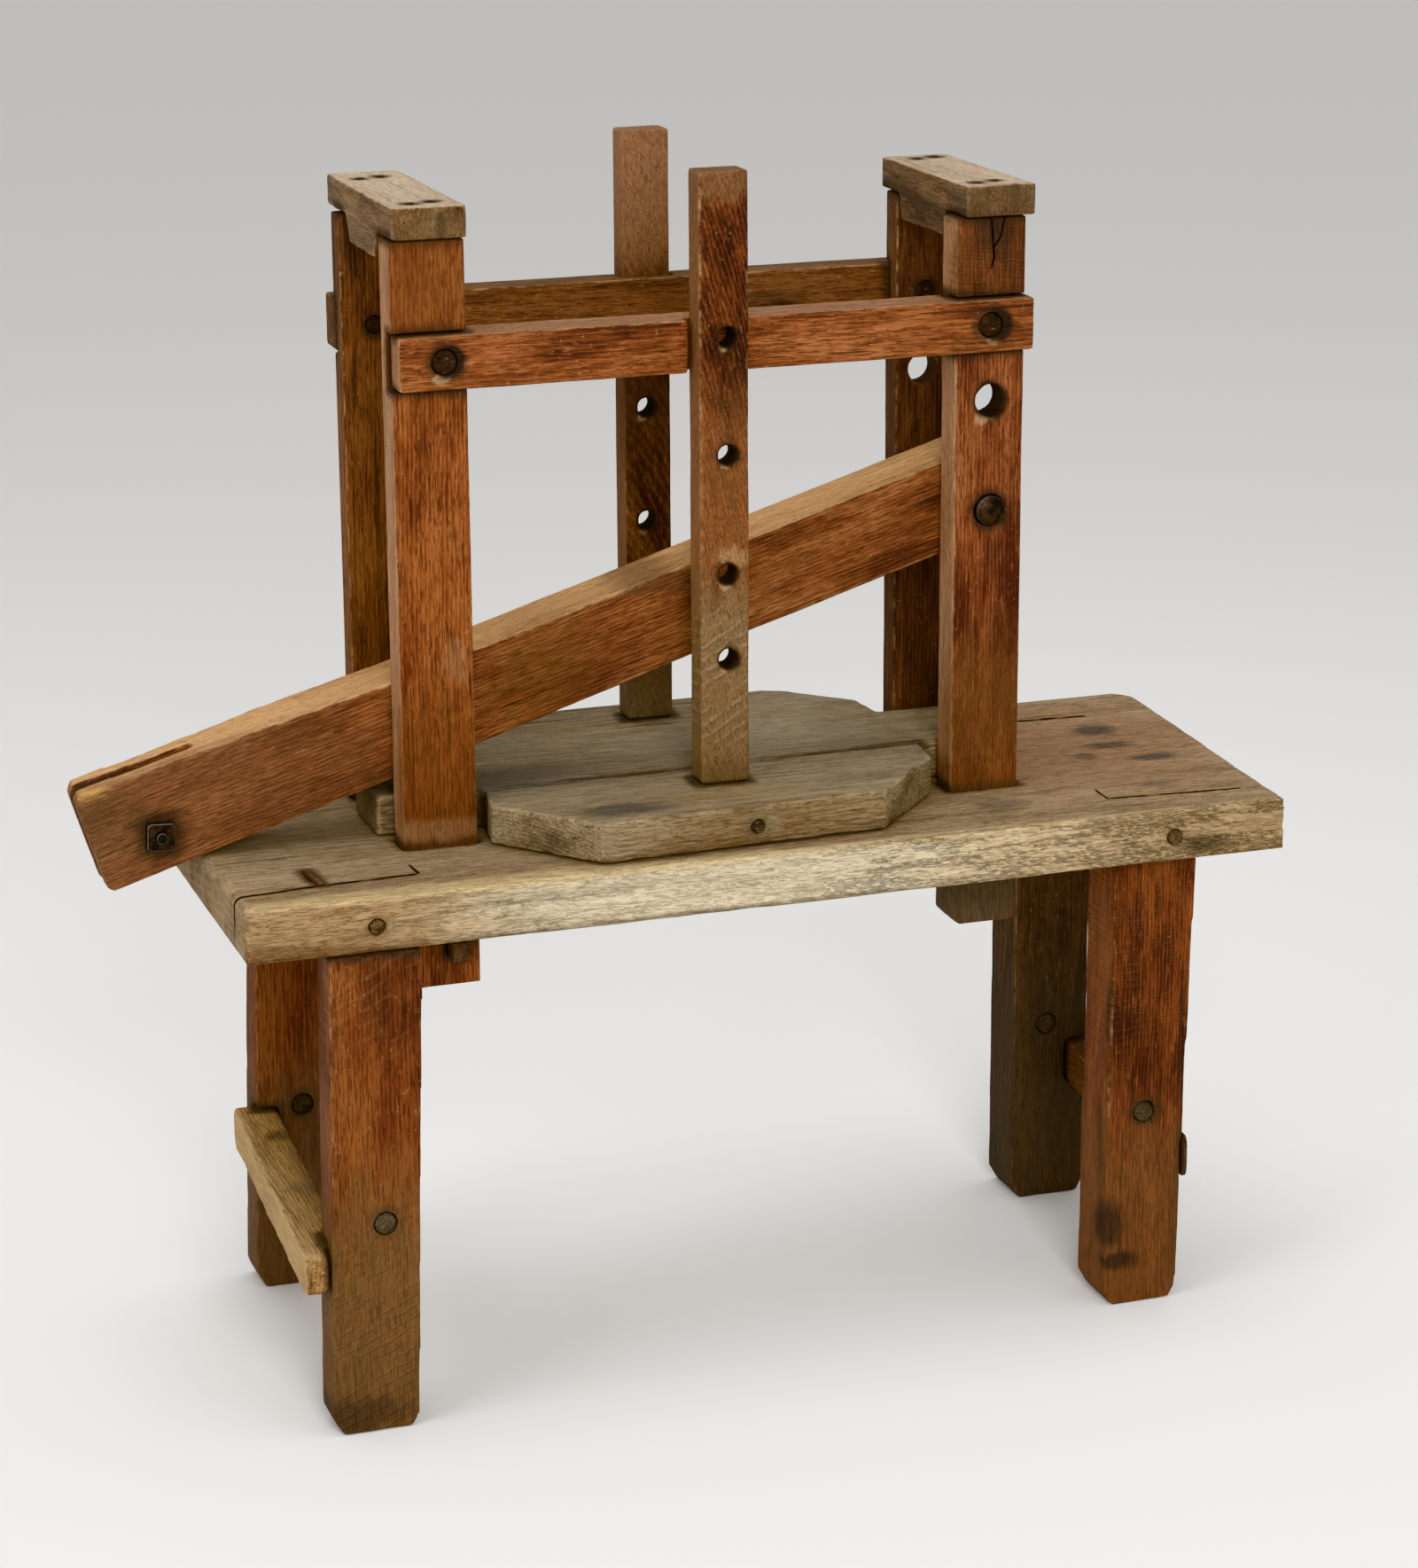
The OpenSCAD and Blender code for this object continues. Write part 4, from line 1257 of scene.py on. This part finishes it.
@dataclass
class Bench:
    """The bench: slab, legs, stretchers, their pins and the splint in the crack."""

    slab_voxel: float = 0.0038
    leg_voxel: float = 0.0030
    crack_width: float = 0.0062
    stains: tuple[Blotch, ...] = field(default_factory=lambda: (
        Blotch((0.5852, 0.0, 0.028), (0.38, 0.012, 0.05), (0.68, 0.585, 0.405), 0.86, 0.30, 0.5),
        Blotch((0.0952, 0.0, 0.024), (0.16, 0.012, 0.05), (0.37, 0.225, 0.105), 0.60, 0.35, 0.5),
        Blotch((0.0352, 0.0, 0.006), (0.14, 0.012, 0.012), (0.17, 0.085, 0.034), 0.60, 0.45, 0.5),
        Blotch((0.5852, 0.0, 0.001), (0.60, 0.012, 0.005), (0.13, 0.080, 0.040), 0.60, 0.60, 0.5),
        Blotch((0.5852, 0.0, 0.058), (0.62, 0.014, 0.0035), (0.66, 0.500, 0.270), 0.60, 0.60, 0.5),
        Blotch((1.0052, 0.0, 0.032), (0.26, 0.012, 0.05), (0.52, 0.360, 0.195), 0.60, 0.35, 0.5),
        Blotch((1.0352, 0.266, 0.061), (0.17, 0.17, 0.012), (0.34, 0.190, 0.105), 0.72, 0.35, 0.6),
        Blotch((1.0932, 0.326, 0.061), (0.026, 0.022, 0.010), STAIN, 0.75, 0.35, 0.5),
        Blotch((1.0882, 0.262, 0.061), (0.026, 0.013, 0.010), STAIN, 0.66, 0.35, 0.5),
        Blotch((1.1142, 0.202, 0.061), (0.028, 0.014, 0.010), STAIN, 0.76, 0.35, 0.5),
        Blotch((1.0412, 0.226, 0.061), (0.012, 0.013, 0.010), STAIN, 0.55, 0.35, 0.5),
        Blotch((0.8702, 0.086, 0.061), (0.030, 0.020, 0.010), STAIN, 0.42, 0.35, 0.6),
        Blotch((1.0722, 0.098, 0.061), (0.022, 0.013, 0.010), STAIN, 0.38, 0.35, 0.6),
        Blotch((0.2352, 0.216, 0.061), (0.26, 0.12, 0.012), (0.285, 0.225, 0.140), 0.55, 0.35, 0.6),
        Blotch((1.0852, 0.0, 0.018), (0.03, 0.010, 0.012), SOOT, 0.6, 0.35, 0.5),
        Blotch((0.2352, 0.014, 0.061), (0.30, 0.016, 0.006), (0.62, 0.46, 0.24), 0.65, 0.45, 0.5),
    ))

    def build(self, shop: Workshop) -> None:
        """Makes every piece of the bench."""
        finish = replace(BENCH_OAK, blotches=self.stains, cracks=self.cracks())
        Timber(
            "bench_top", Body.FRAME, "bench_oak", Grain.ALONG_BENCH, finish, pith=SLAB_PITH,
            voxel=self.slab_voxel, rounding=1, dents=0.0016, fibre=0.0008, torn=0.0034, seed=3).build(shop)
        legs = (
            ("leg_front_left", replace(LEG_OAK, blotches=(
                Blotch((0.0602, -0.002, 0.1), (0.30, 0.20, 0.17), (0.165, 0.093, 0.040), 0.75, 0.3, 0.5),
                Blotch((0.0202, -0.002, 0.02), (0.06, 0.08, 0.022), SOOT, 0.6, 0.4, 0.5)),
                marks=(SawMarks((0.0602, -0.002, 0.09), (0.30, 0.2, 0.16), (-0.40, 0.0, 0.92), 0.011, 0.30),
                       SawMarks((0.0602, -0.002, 0.48), (0.30, 0.2, 0.07), (-0.42, 0.0, 0.91), 0.016, 0.18,
                           (0.30, 0.17, 0.09))))),
            ("leg_front_right", replace(LEG_OAK, pale=(0.290, 0.100, 0.034), warm=(0.200, 0.054, 0.018),
                blotches=(
                Blotch((0.0452, -0.002, 0.06), (0.30, 0.20, 0.16), (0.145, 0.072, 0.030), 0.6, 0.3, 0.5),
                Blotch((0.0072, 0.001, 0.1), (0.015, 0.03, 0.03), SOOT, 0.8, 0.3, 0.4),
                Blotch((0.0202, 0.001, 0.055), (0.02, 0.03, 0.012), SOOT, 0.8, 0.3, 0.4)),
                marks=(SawMarks((0.0452, -0.002, 0.42), (0.30, 0.2, 0.13), (-0.06, 0.0, 1.0), 0.0085,
                    0.09),))),
            ("leg_back_left", replace(LEG_OAK, blotches=(
                Blotch((0.0492, 0.02, 0.07), (0.30, 0.20, 0.17), (0.130, 0.092, 0.052), 0.6, 0.3, 0.5),))),
            # the back right leg is coloured much darker, partly darker wood and partly painted shade
            ("leg_back_right", replace(LEG_OAK, pale=(0.13, 0.070, 0.032), warm=(0.082, 0.040, 0.018),
                deep=(0.026, 0.014, 0.008), weathered_and_lit_colour=(0.15, 0.105, 0.065), blotches=(
                Blotch((0.0192, 0.038, 0.12), (0.30, 0.20, 0.16), (0.070, 0.052, 0.033), 0.7, 0.3, 0.5),))),
        )
        for n, (node, finish) in enumerate(legs):
            Timber(
                node, Body.FRAME, "leg_oak", Grain.UPRIGHT, finish, pith=(0.0, 0.20, 0.36 - 0.9 * (n % 2)),
                voxel=self.leg_voxel, rounding=6, dents=0.0018, fibre=0.0006, torn=0.0, seed=11 + n
            ).build(shop)
        stained = replace(BAR_OAK, blotches=(
            Blotch((0.0553, 0.1852, 0.0378), (0.03, 0.02, 0.03), GREY, 0.6),
            Blotch((0.0553, 0.3352, 0.0428), (0.02, 0.02, 0.02), SOOT, 0.7)))
        # the right stretcher takes the dark finish as painted shade, as it sits in shade behind the leg
        bars = (("stretcher_left", "stretcher_oak", stained), ("stretcher_right", "leg_oak", DARK_SHADED_OAK))
        for n, (node, slot, finish) in enumerate(bars):
            Timber(
                node, Body.FRAME, slot, Grain.FRONT_TO_BACK, finish, pith=(0.0, 0.40, -0.10), voxel=0.0030,
                rounding=5, dents=0.0020, fibre=0.0008, torn=0.0, seed=21 + n).build(shop)
        PegGroup(
            "leg_pins", Body.FRAME, "peg_oak",
            replace(PEG_OAK, pale=(0.24, 0.15, 0.08), warm=(0.16, 0.09, 0.045)), Grain.FRONT_TO_BACK,
            sides=8, seed=31).build(shop)
        PegGroup(
            "leg_plugs", Body.FRAME, "plug_oak", PLUG_OAK, Grain.FRONT_TO_BACK, sides=20, seed=41
        ).build(shop)
        Timber(
            "crack_wedge", Body.FRAME, "wedge_oak", Grain.ALONG_BENCH, WEDGE_OAK, pith=(0.0, 0.2, 0.1),
            voxel=0.0010, rounding=3, dents=0.0006, fibre=0.0003, torn=0.0, seed=51).build(shop)

    def cracks(self) -> tuple[Crack, ...]:
        """The bench's open cracks."""
        top, wide = SLAB_HIGH.z - SLAB_LOW.z, self.crack_width
        return (
            Crack(((-0.0060, 0.051, top), (0.0842, 0.061, top), (0.1982, 0.0665, top)), width=wide),
            Crack(((0.2027, 0.0688, top), (0.2012, 0.0986, top)), width=wide * 0.6),
            Crack(((0.9965, 0.1028, top), (0.9953, 0.0668, top)), width=wide * 0.5),
            Crack(((0.9953, 0.0668, top), (1.0997, 0.0578, top), (1.1505, 0.0539, top)), width=wide * 0.8),
            Crack(((1.0276, 0.3909, top), (1.1083, 0.3862, top)), width=wide * 1.3),
            Crack(((0.0, 0.051, top + 0.003), (0.0, 0.058, top - 0.045)), (1.0, 0.0, 0.0), wide * 0.5),
        )


@dataclass
class Uprights:
    """The posts with their caps, rails, key and pegs."""

    voxel: float = 0.0028

    def build(self, shop: Workshop) -> None:
        """Makes every piece of the uprights."""
        posts = (
            ("post_front_left", replace(POST_OAK, contrast=0.75, blotches=(
                Blotch((0.0407, 0.0, 0.178), (0.06, 0.02, 0.012), (0.42, 0.26, 0.15), 0.65, 0.4, 0.5),
                Blotch((0.0407, 0.0, 0.238), (0.08, 0.02, 0.09), (0.150, 0.050, 0.012), 0.55, 0.3, 0.6),
                Blotch((0.0637, 0.0, 0.363), (0.012, 0.01, 0.020), (0.40, 0.22, 0.11), 0.32, 0.9, 0.5),
                Blotch((0.0407, 0.0, 0.768), (0.08, 0.02, 0.06), (0.155, 0.055, 0.018), 0.55, 0.3, 0.6))),
                (0.0, 0.14, 0.33)),
            ("post_front_right", replace(POST_OAK, contrast=0.6, pale=(0.34, 0.136, 0.060),
                warm=(0.232, 0.072, 0.030), blotches=(
                Blotch((0.0447, 0.0, 0.238), (0.08, 0.02, 0.09), (0.20, 0.085, 0.030), 0.55, 0.3, 0.6),
                Blotch((0.0447, 0.0, 0.758), (0.07, 0.02, 0.055), (0.075, 0.032, 0.014), 0.60, 0.4, 0.6),
                Blotch((0.0467, 0.0, 0.788), (0.022, 0.02, 0.026), SOOT, 0.75, 0.5, 0.6),
                Blotch((0.0347, 0.004, 0.048), (0.1, 0.1, 0.055), (0.115, 0.088, 0.056), 0.92, 0.2, 0.3))
                + bores(0.0435, (0.6015,), 0.0165),
                cracks=(Crack(((0.0407, 0.0, 0.802), (0.0447, 0.0, 0.758), (0.0417, 0.0, 0.748)),
                    (0.0, 1.0, 0.0), 0.0030),
                        Crack(((0.0567, 0.0, 0.802), (0.0517, 0.0, 0.78), (0.0447, 0.0, 0.77)),
                            (0.0, 1.0, 0.0), 0.0026)),
                marks=(SawMarks((0.0447, 0.0, 0.748), (0.06, 0.05, 0.05), (0.1, 0.0, 1.0), 0.009, 0.16),)),
                (0.0, 0.14, -0.30)),
            (
                "post_back_left", replace(DARK_SHADED_OAK, warm=(0.17, 0.058, 0.016), pale=(0.26, 0.10, 0.032)),
                (0.0, 0.14, 0.33)),
            ("post_back_right", DARK_SHADED_OAK, (0.0, 0.16, -0.31)),
        )
        for n, (node, finish, pith) in enumerate(posts):
            Timber(
                node, Body.FRAME, "post_oak", Grain.UPRIGHT, finish, pith=pith, voxel=self.voxel,
                rounding=2, dents=0.0013, fibre=0.0005, torn=0.0, seed=61 + n).build(shop)
        knots = (("cap_left", 0.0392, 0.035), ("cap_right", 0.0422, 0.046))
        for n, (node, across, up) in enumerate(knots):
            marked = replace(CAP_OAK, blotches=(
                Blotch((across + 0.014, 0.0, up + 0.006), (0.0055, 0.01, 0.016), SOOT, 0.95, 0.25, 0.4),
                Blotch((across, 0.0, up), (0.05, 0.01, 0.022), (0.170, 0.105, 0.055), 0.6, 0.3, 0.6)))
            Timber(
                node, Body.FRAME, "cap_oak", Grain.FRONT_TO_BACK, marked,
                pith=(0.0, 0.34 * (1 - 2 * n), -1.22), voxel=0.0028, rounding=4, dents=0.0016, fibre=0.0006,
                torn=0.0, seed=71 + n).build(shop)
        halo = bores(0.0540, (0.031,), 0.0135) + bores(0.6719, (0.031,), 0.0135)
        rails = (
            ("rail_front", replace(RAIL_OAK, blotches=halo), -1.02),
            ("rail_back", replace(DARK_SHADED_OAK, warm=(0.165, 0.062, 0.020), top_face_painted_light=0.6), -1.06))
        for n, (node, finish, pith) in enumerate(rails):
            Timber(
                node, Body.FRAME, "rail_oak", Grain.ALONG_BENCH, finish, pith=(0.0, 0.02, pith),
                voxel=self.voxel, rounding=3, dents=0.0015, fibre=0.0007, torn=0.0, seed=81 + n).build(shop)
        Timber(
            "post_key", Body.FRAME, "peg_oak", Grain.FRONT_TO_BACK,
            replace(PEG_OAK, pale=(0.22, 0.13, 0.075), warm=(0.13, 0.07, 0.04)), pith=(0.0, 0.2, -0.4),
            voxel=0.0016, rounding=4, dents=0.0010, fibre=0.0004, torn=0.0, seed=85).build(shop)
        dark_pegs = replace(
            PEG_OAK, pale=(0.060, 0.030, 0.015), warm=(0.028, 0.014, 0.008), deep=(0.010, 0.006, 0.004))
        PegGroup("cap_pegs", Body.FRAME, "peg_oak", PEG_OAK, Grain.UPRIGHT, sides=12, seed=91).build(shop)
        PegGroup(
            "rail_pegs", Body.FRAME, "peg_oak", dark_pegs, Grain.FRONT_TO_BACK, sides=24, seed=95
        ).build(shop)


@dataclass
class Follower:
    """The board that presses, with its two slats, dowels and pins."""

    voxel: float = 0.0036
    slat_bores: tuple[float, ...] = (0.173, 0.267, 0.397, 0.524)
    stains: tuple[Blotch, ...] = field(default_factory=lambda: (
        Blotch((0.1352, 0.044, 0.0456), (0.05, 0.020, 0.010), STAIN, 0.65, 0.3, 0.5),
        Blotch((0.0352, 0.194, 0.0456), (0.10, 0.05, 0.012), (0.200, 0.180, 0.140), 0.60, 0.35, 0.6),
        Blotch((0.2552, 0.064, 0.0456), (0.09, 0.03, 0.012), (0.33, 0.235, 0.115), 0.45, 0.35, 0.6),
        Blotch((0.3052, 0.009, 0.0246), (0.20, 0.012, 0.03), (0.20, 0.115, 0.052), 0.55, 0.35, 0.6),
        Blotch((0.2752, 0.009, 0.0246), (0.020, 0.012, 0.016), (0.27, 0.225, 0.13), 0.6, 0.3, 0.5),
        Blotch((0.3352, 0.264, 0.0456), (0.16, 0.08, 0.012), (0.400, 0.335, 0.225), 0.65, 0.35, 0.6),
    ))

    def build(self, shop: Workshop) -> None:
        """Makes every piece of the follower."""
        finish = replace(BOARD_OAK, blotches=self.stains)
        for n, node in enumerate(("board_front", "board_back")):
            Timber(
                node, Body.FOLLOWER, "board_oak", Grain.ALONG_BENCH, finish,
                pith=(0.0, 0.12 - 0.2 * n, -0.45), voxel=self.voxel, rounding=2, dents=0.0014, fibre=0.0007,
                torn=0.0, seed=101 + n, corner="board_front").build(shop)
        slats = (
            ("slat_front", replace(SLAT_OAK, blotches=(
                Blotch((0.0297, 0.0, 0.3396), (0.10, 0.08, 0.11), (0.300, 0.135, 0.058), 0.45, 0.28, 0.6),
                Blotch((0.0297, 0.0, 0.1296), (0.10, 0.08, 0.125), (0.235, 0.150, 0.075), 0.85, 0.28, 0.35),
                Blotch((0.0297, 0.0, 0.0396), (0.05, 0.06, 0.020), (0.155, 0.092, 0.045), 0.6, 0.4, 0.5),
                Blotch((0.0325, 0.0, 0.2826), (0.020, 0.01, 0.012), TAN, 0.6, 1.0, 0.4),
                Blotch((0.0297, 0.0, 0.6896), (0.05, 0.06, 0.020), (0.22, 0.12, 0.06), 0.6, 0.4, 0.5))
                + bores(0.0325, self.slat_bores, 0.010),
                marks=(SawMarks((0.0297, 0.0, 0.1496), (0.10, 0.08, 0.085), (-0.50, 0.0, 0.86), 0.0125,
                    1.0, (0.62, 0.48, 0.31)),)), -0.10),
            ("slat_back", replace(SLAT_OAK, pale=(0.24, 0.10, 0.036), warm=(0.135, 0.050, 0.017),
                figure=0.024, contrast=0.6, blotches=(
                Blotch((0.0247, 0.005, 0.6446), (0.10, 0.08, 0.10), (0.310, 0.165, 0.090), 0.75, 0.3, 0.5),
                Blotch((0.0247, 0.005, 0.4346), (0.10, 0.08, 0.10), (0.060, 0.024, 0.010), 0.55, 0.4, 0.6),
                Blotch((0.0247, 0.005, 0.0746), (0.10, 0.08, 0.05), (0.20, 0.145, 0.085), 0.85, 0.3, 0.4))
                + bores(0.0275, self.slat_bores, 0.010)), -0.09),
        )
        for n, (node, finish, pith) in enumerate(slats):
            Timber(
                node, Body.FOLLOWER, "slat_oak", Grain.UPRIGHT, finish, pith=(0.0, 0.085, pith),
                voxel=0.0025, rounding=2, dents=0.0014, fibre=0.0006, torn=0.0, seed=111 + n).build(shop)
        PegGroup(
            "board_dowels", Body.FOLLOWER, "peg_oak", PEG_OAK, Grain.FRONT_TO_BACK, sides=16, seed=121
        ).build(shop)
        PegGroup(
            "slat_pins", Body.FOLLOWER, "peg_oak",
            replace(PEG_OAK, pale=(0.25, 0.20, 0.12), warm=(0.16, 0.12, 0.07)), Grain.FRONT_TO_BACK,
            sides=14, seed=125).build(shop)


@dataclass
class LeverArm:
    """The lever with the bolt through its slotted end."""

    voxel: float = 0.0030

    def build(self, shop: Workshop) -> None:
        """Makes the lever and its bolt."""
        finish = replace(LEVER_OAK, blotches=(
            Blotch((0.1088, 0.0, 0.0922), (0.20, 0.02, 0.10), (0.215, 0.105, 0.054), 0.55, 0.45, 0.6),
            # painted shade: the inside of the lever's slot is painted near-black
            Blotch((0.0188, 0.033, 0.0872), (0.105, 0.0115, 0.12), (0.028, 0.021, 0.016), 0.92, 0.12, 0.2),
            Blotch((0.0088, 0.0, 0.0672), (0.09, 0.02, 0.05), (0.115, 0.066, 0.034), 0.45, 0.5, 0.6),
            Blotch((0.0877, 0.0, 0.0599), (0.028, 0.02, 0.028), (0.040, 0.022, 0.013), 0.75, 0.5, 0.5),
            Blotch((0.0138, 0.0, 0.1272), (0.020, 0.02, 0.016), (0.62, 0.36, 0.12), 0.6, 0.9, 0.5),
            Blotch((0.5188, 0.0, 0.1972), (0.05, 0.03, 0.06), (0.145, 0.058, 0.018), 0.55, 0.3, 0.6),
            Blotch((0.6488, 0.038, 0.2872), (0.05, 0.10, 0.014), (0.10, 0.055, 0.028), 0.55, 0.4, 0.5)))
        Timber(
            "lever", Body.LEVER, "lever_oak", Grain.LEVER, finish, pith=(0.0, 0.10, 0.06), voxel=self.voxel,
            rounding=2, dents=0.0018, fibre=0.0008, torn=0.0, seed=131).build(shop)
        for n, (node, voxel) in enumerate((("link_bolt", 0.0009), ("link_nut", 0.0008))):
            Forged(node, Body.LEVER, voxel=voxel, seed=141 + n).build(shop)


@dataclass
class Forged:
    """A forged piece of iron."""

    node: str
    body: Body
    voxel: float
    seed: int

    def build(self, shop: Workshop) -> None:
        """Makes the piece and dresses it."""
        turn = lever_frame() if self.body is Body.LEVER else Matrix.Identity(4)
        values = {
            "Rounding": 5, "Dent Depth": 0.0006, "Grain Depth": 0.0001, "Seed": float(self.seed),
            "Edge Scale": 0.0003}
        mesh = shop.wear(
            self.node, self.voxel, Grain.ALONG_BENCH, IRON.material(float(self.seed)), values, turn)
        shop.add(f"{self.node}_iron", mesh, self.body, "iron", [self.node])


# ---------------------------------------------------------------- the stage


@dataclass(frozen=True)
class Lamp:
    """A soft square light: where it hangs, what it faces, its side in metres and its watts."""

    name: str
    place: Triple
    aim: Triple
    side: float
    watts: float


@dataclass
class Studio:
    """Floor, lights and camera."""

    eye: Triple = (-1.35832, -4.09217, 1.91033)
    ahead: Triple = (0.311519, 0.905847, -0.287074)
    roll: float = math.radians(-0.3097)
    lens: float = 92.732
    sensor: float = 36.0
    lamps: tuple[Lamp, ...] = (
        Lamp("key", (-0.6, -4.4, 2.6), (0.0, 0.0, 0.7), 1.6, 118.0),
        Lamp("fill", (-4.2, -1.6, 2.4), (0.0, 0.0, 0.6), 2.6, 62.0),
        Lamp("above", (0.2, 0.2, 4.2), (0.0, 0.0, 0.4), 3.0, 52.0))
    glow: float = 0.62
    glow_tint: Triple = (1.0, 0.99, 0.975)
    floor_reach: float = 60.0
    floor_tint: Triple = (0.88, 0.88, 0.87)

    def build(self) -> None:
        """Sets everything up around the press."""
        self._floor()
        bpy.context.scene.view_settings.view_transform = "Khronos PBR Neutral"
        for lamp in self.lamps:
            self._light(lamp)
        world = bpy.data.worlds.new("studio")
        world.use_nodes = True
        sky = world.node_tree.nodes["Background"]
        sky.inputs["Color"].default_value = (*self.glow_tint, 1.0)
        sky.inputs["Strength"].default_value = self.glow
        bpy.context.scene.world = world
        self._camera()

    def _floor(self) -> None:
        """A plain pale floor."""
        mesh = bpy.data.meshes.new("floor")
        far = self.floor_reach
        mesh.from_pydata(
            [(-far, -far, 0), (far, -far, 0), (far, far, 0), (-far, far, 0)], [], [(0, 1, 2, 3)])
        floor = bpy.data.objects.new("floor", mesh)
        bpy.context.scene.collection.objects.link(floor)
        material = bpy.data.materials.new("pale_floor")
        material.use_nodes = True
        shader = material.node_tree.nodes["Principled BSDF"]
        shader.inputs["Base Color"].default_value = (*self.floor_tint, 1.0)
        shader.inputs["Roughness"].default_value = 0.9
        mesh.materials.append(material)

    def _light(self, lamp: Lamp) -> None:
        """Hangs one light."""
        data = bpy.data.lights.new(lamp.name, "AREA")
        data.size, data.energy = lamp.side, lamp.watts
        hung = bpy.data.objects.new(lamp.name, data)
        hung.location = lamp.place
        hung.rotation_euler = (Vector(lamp.aim) - Vector(lamp.place)).to_track_quat("-Z", "Y").to_euler()
        bpy.context.scene.collection.objects.link(hung)

    def _camera(self) -> None:
        """The camera."""
        look = Vector(self.ahead).normalized()
        right = look.cross(Vector((0.0, 0.0, 1.0))).normalized()
        up = right.cross(look)
        across = right * math.cos(self.roll) + up * math.sin(self.roll)
        above = up * math.cos(self.roll) - right * math.sin(self.roll)
        data = bpy.data.cameras.new("camera")
        data.lens, data.sensor_width = self.lens, self.sensor
        camera = bpy.data.objects.new("camera", data)
        turn = Matrix((across, above, -look)).transposed().to_4x4()
        camera.matrix_world = Matrix.Translation(Vector(self.eye)) @ turn
        bpy.context.scene.collection.objects.link(camera)
        bpy.context.scene.camera = camera


def main() -> None:
    """Builds the press, part by part."""
    logging.basicConfig(level=logging.INFO, format="%(message)s")
    shop = Workshop(worn_timber_tree(), peg_tree())
    Studio().build()
    for part in (Bench(), Uprights(), Follower(), LeverArm()):
        part.build(shop)
    Forged("pivot_pin", Body.FRAME, voxel=0.0012, seed=151).build(shop)
    LOG.info("%d pieces", shop.count)


if __name__ == "__main__":
    main()
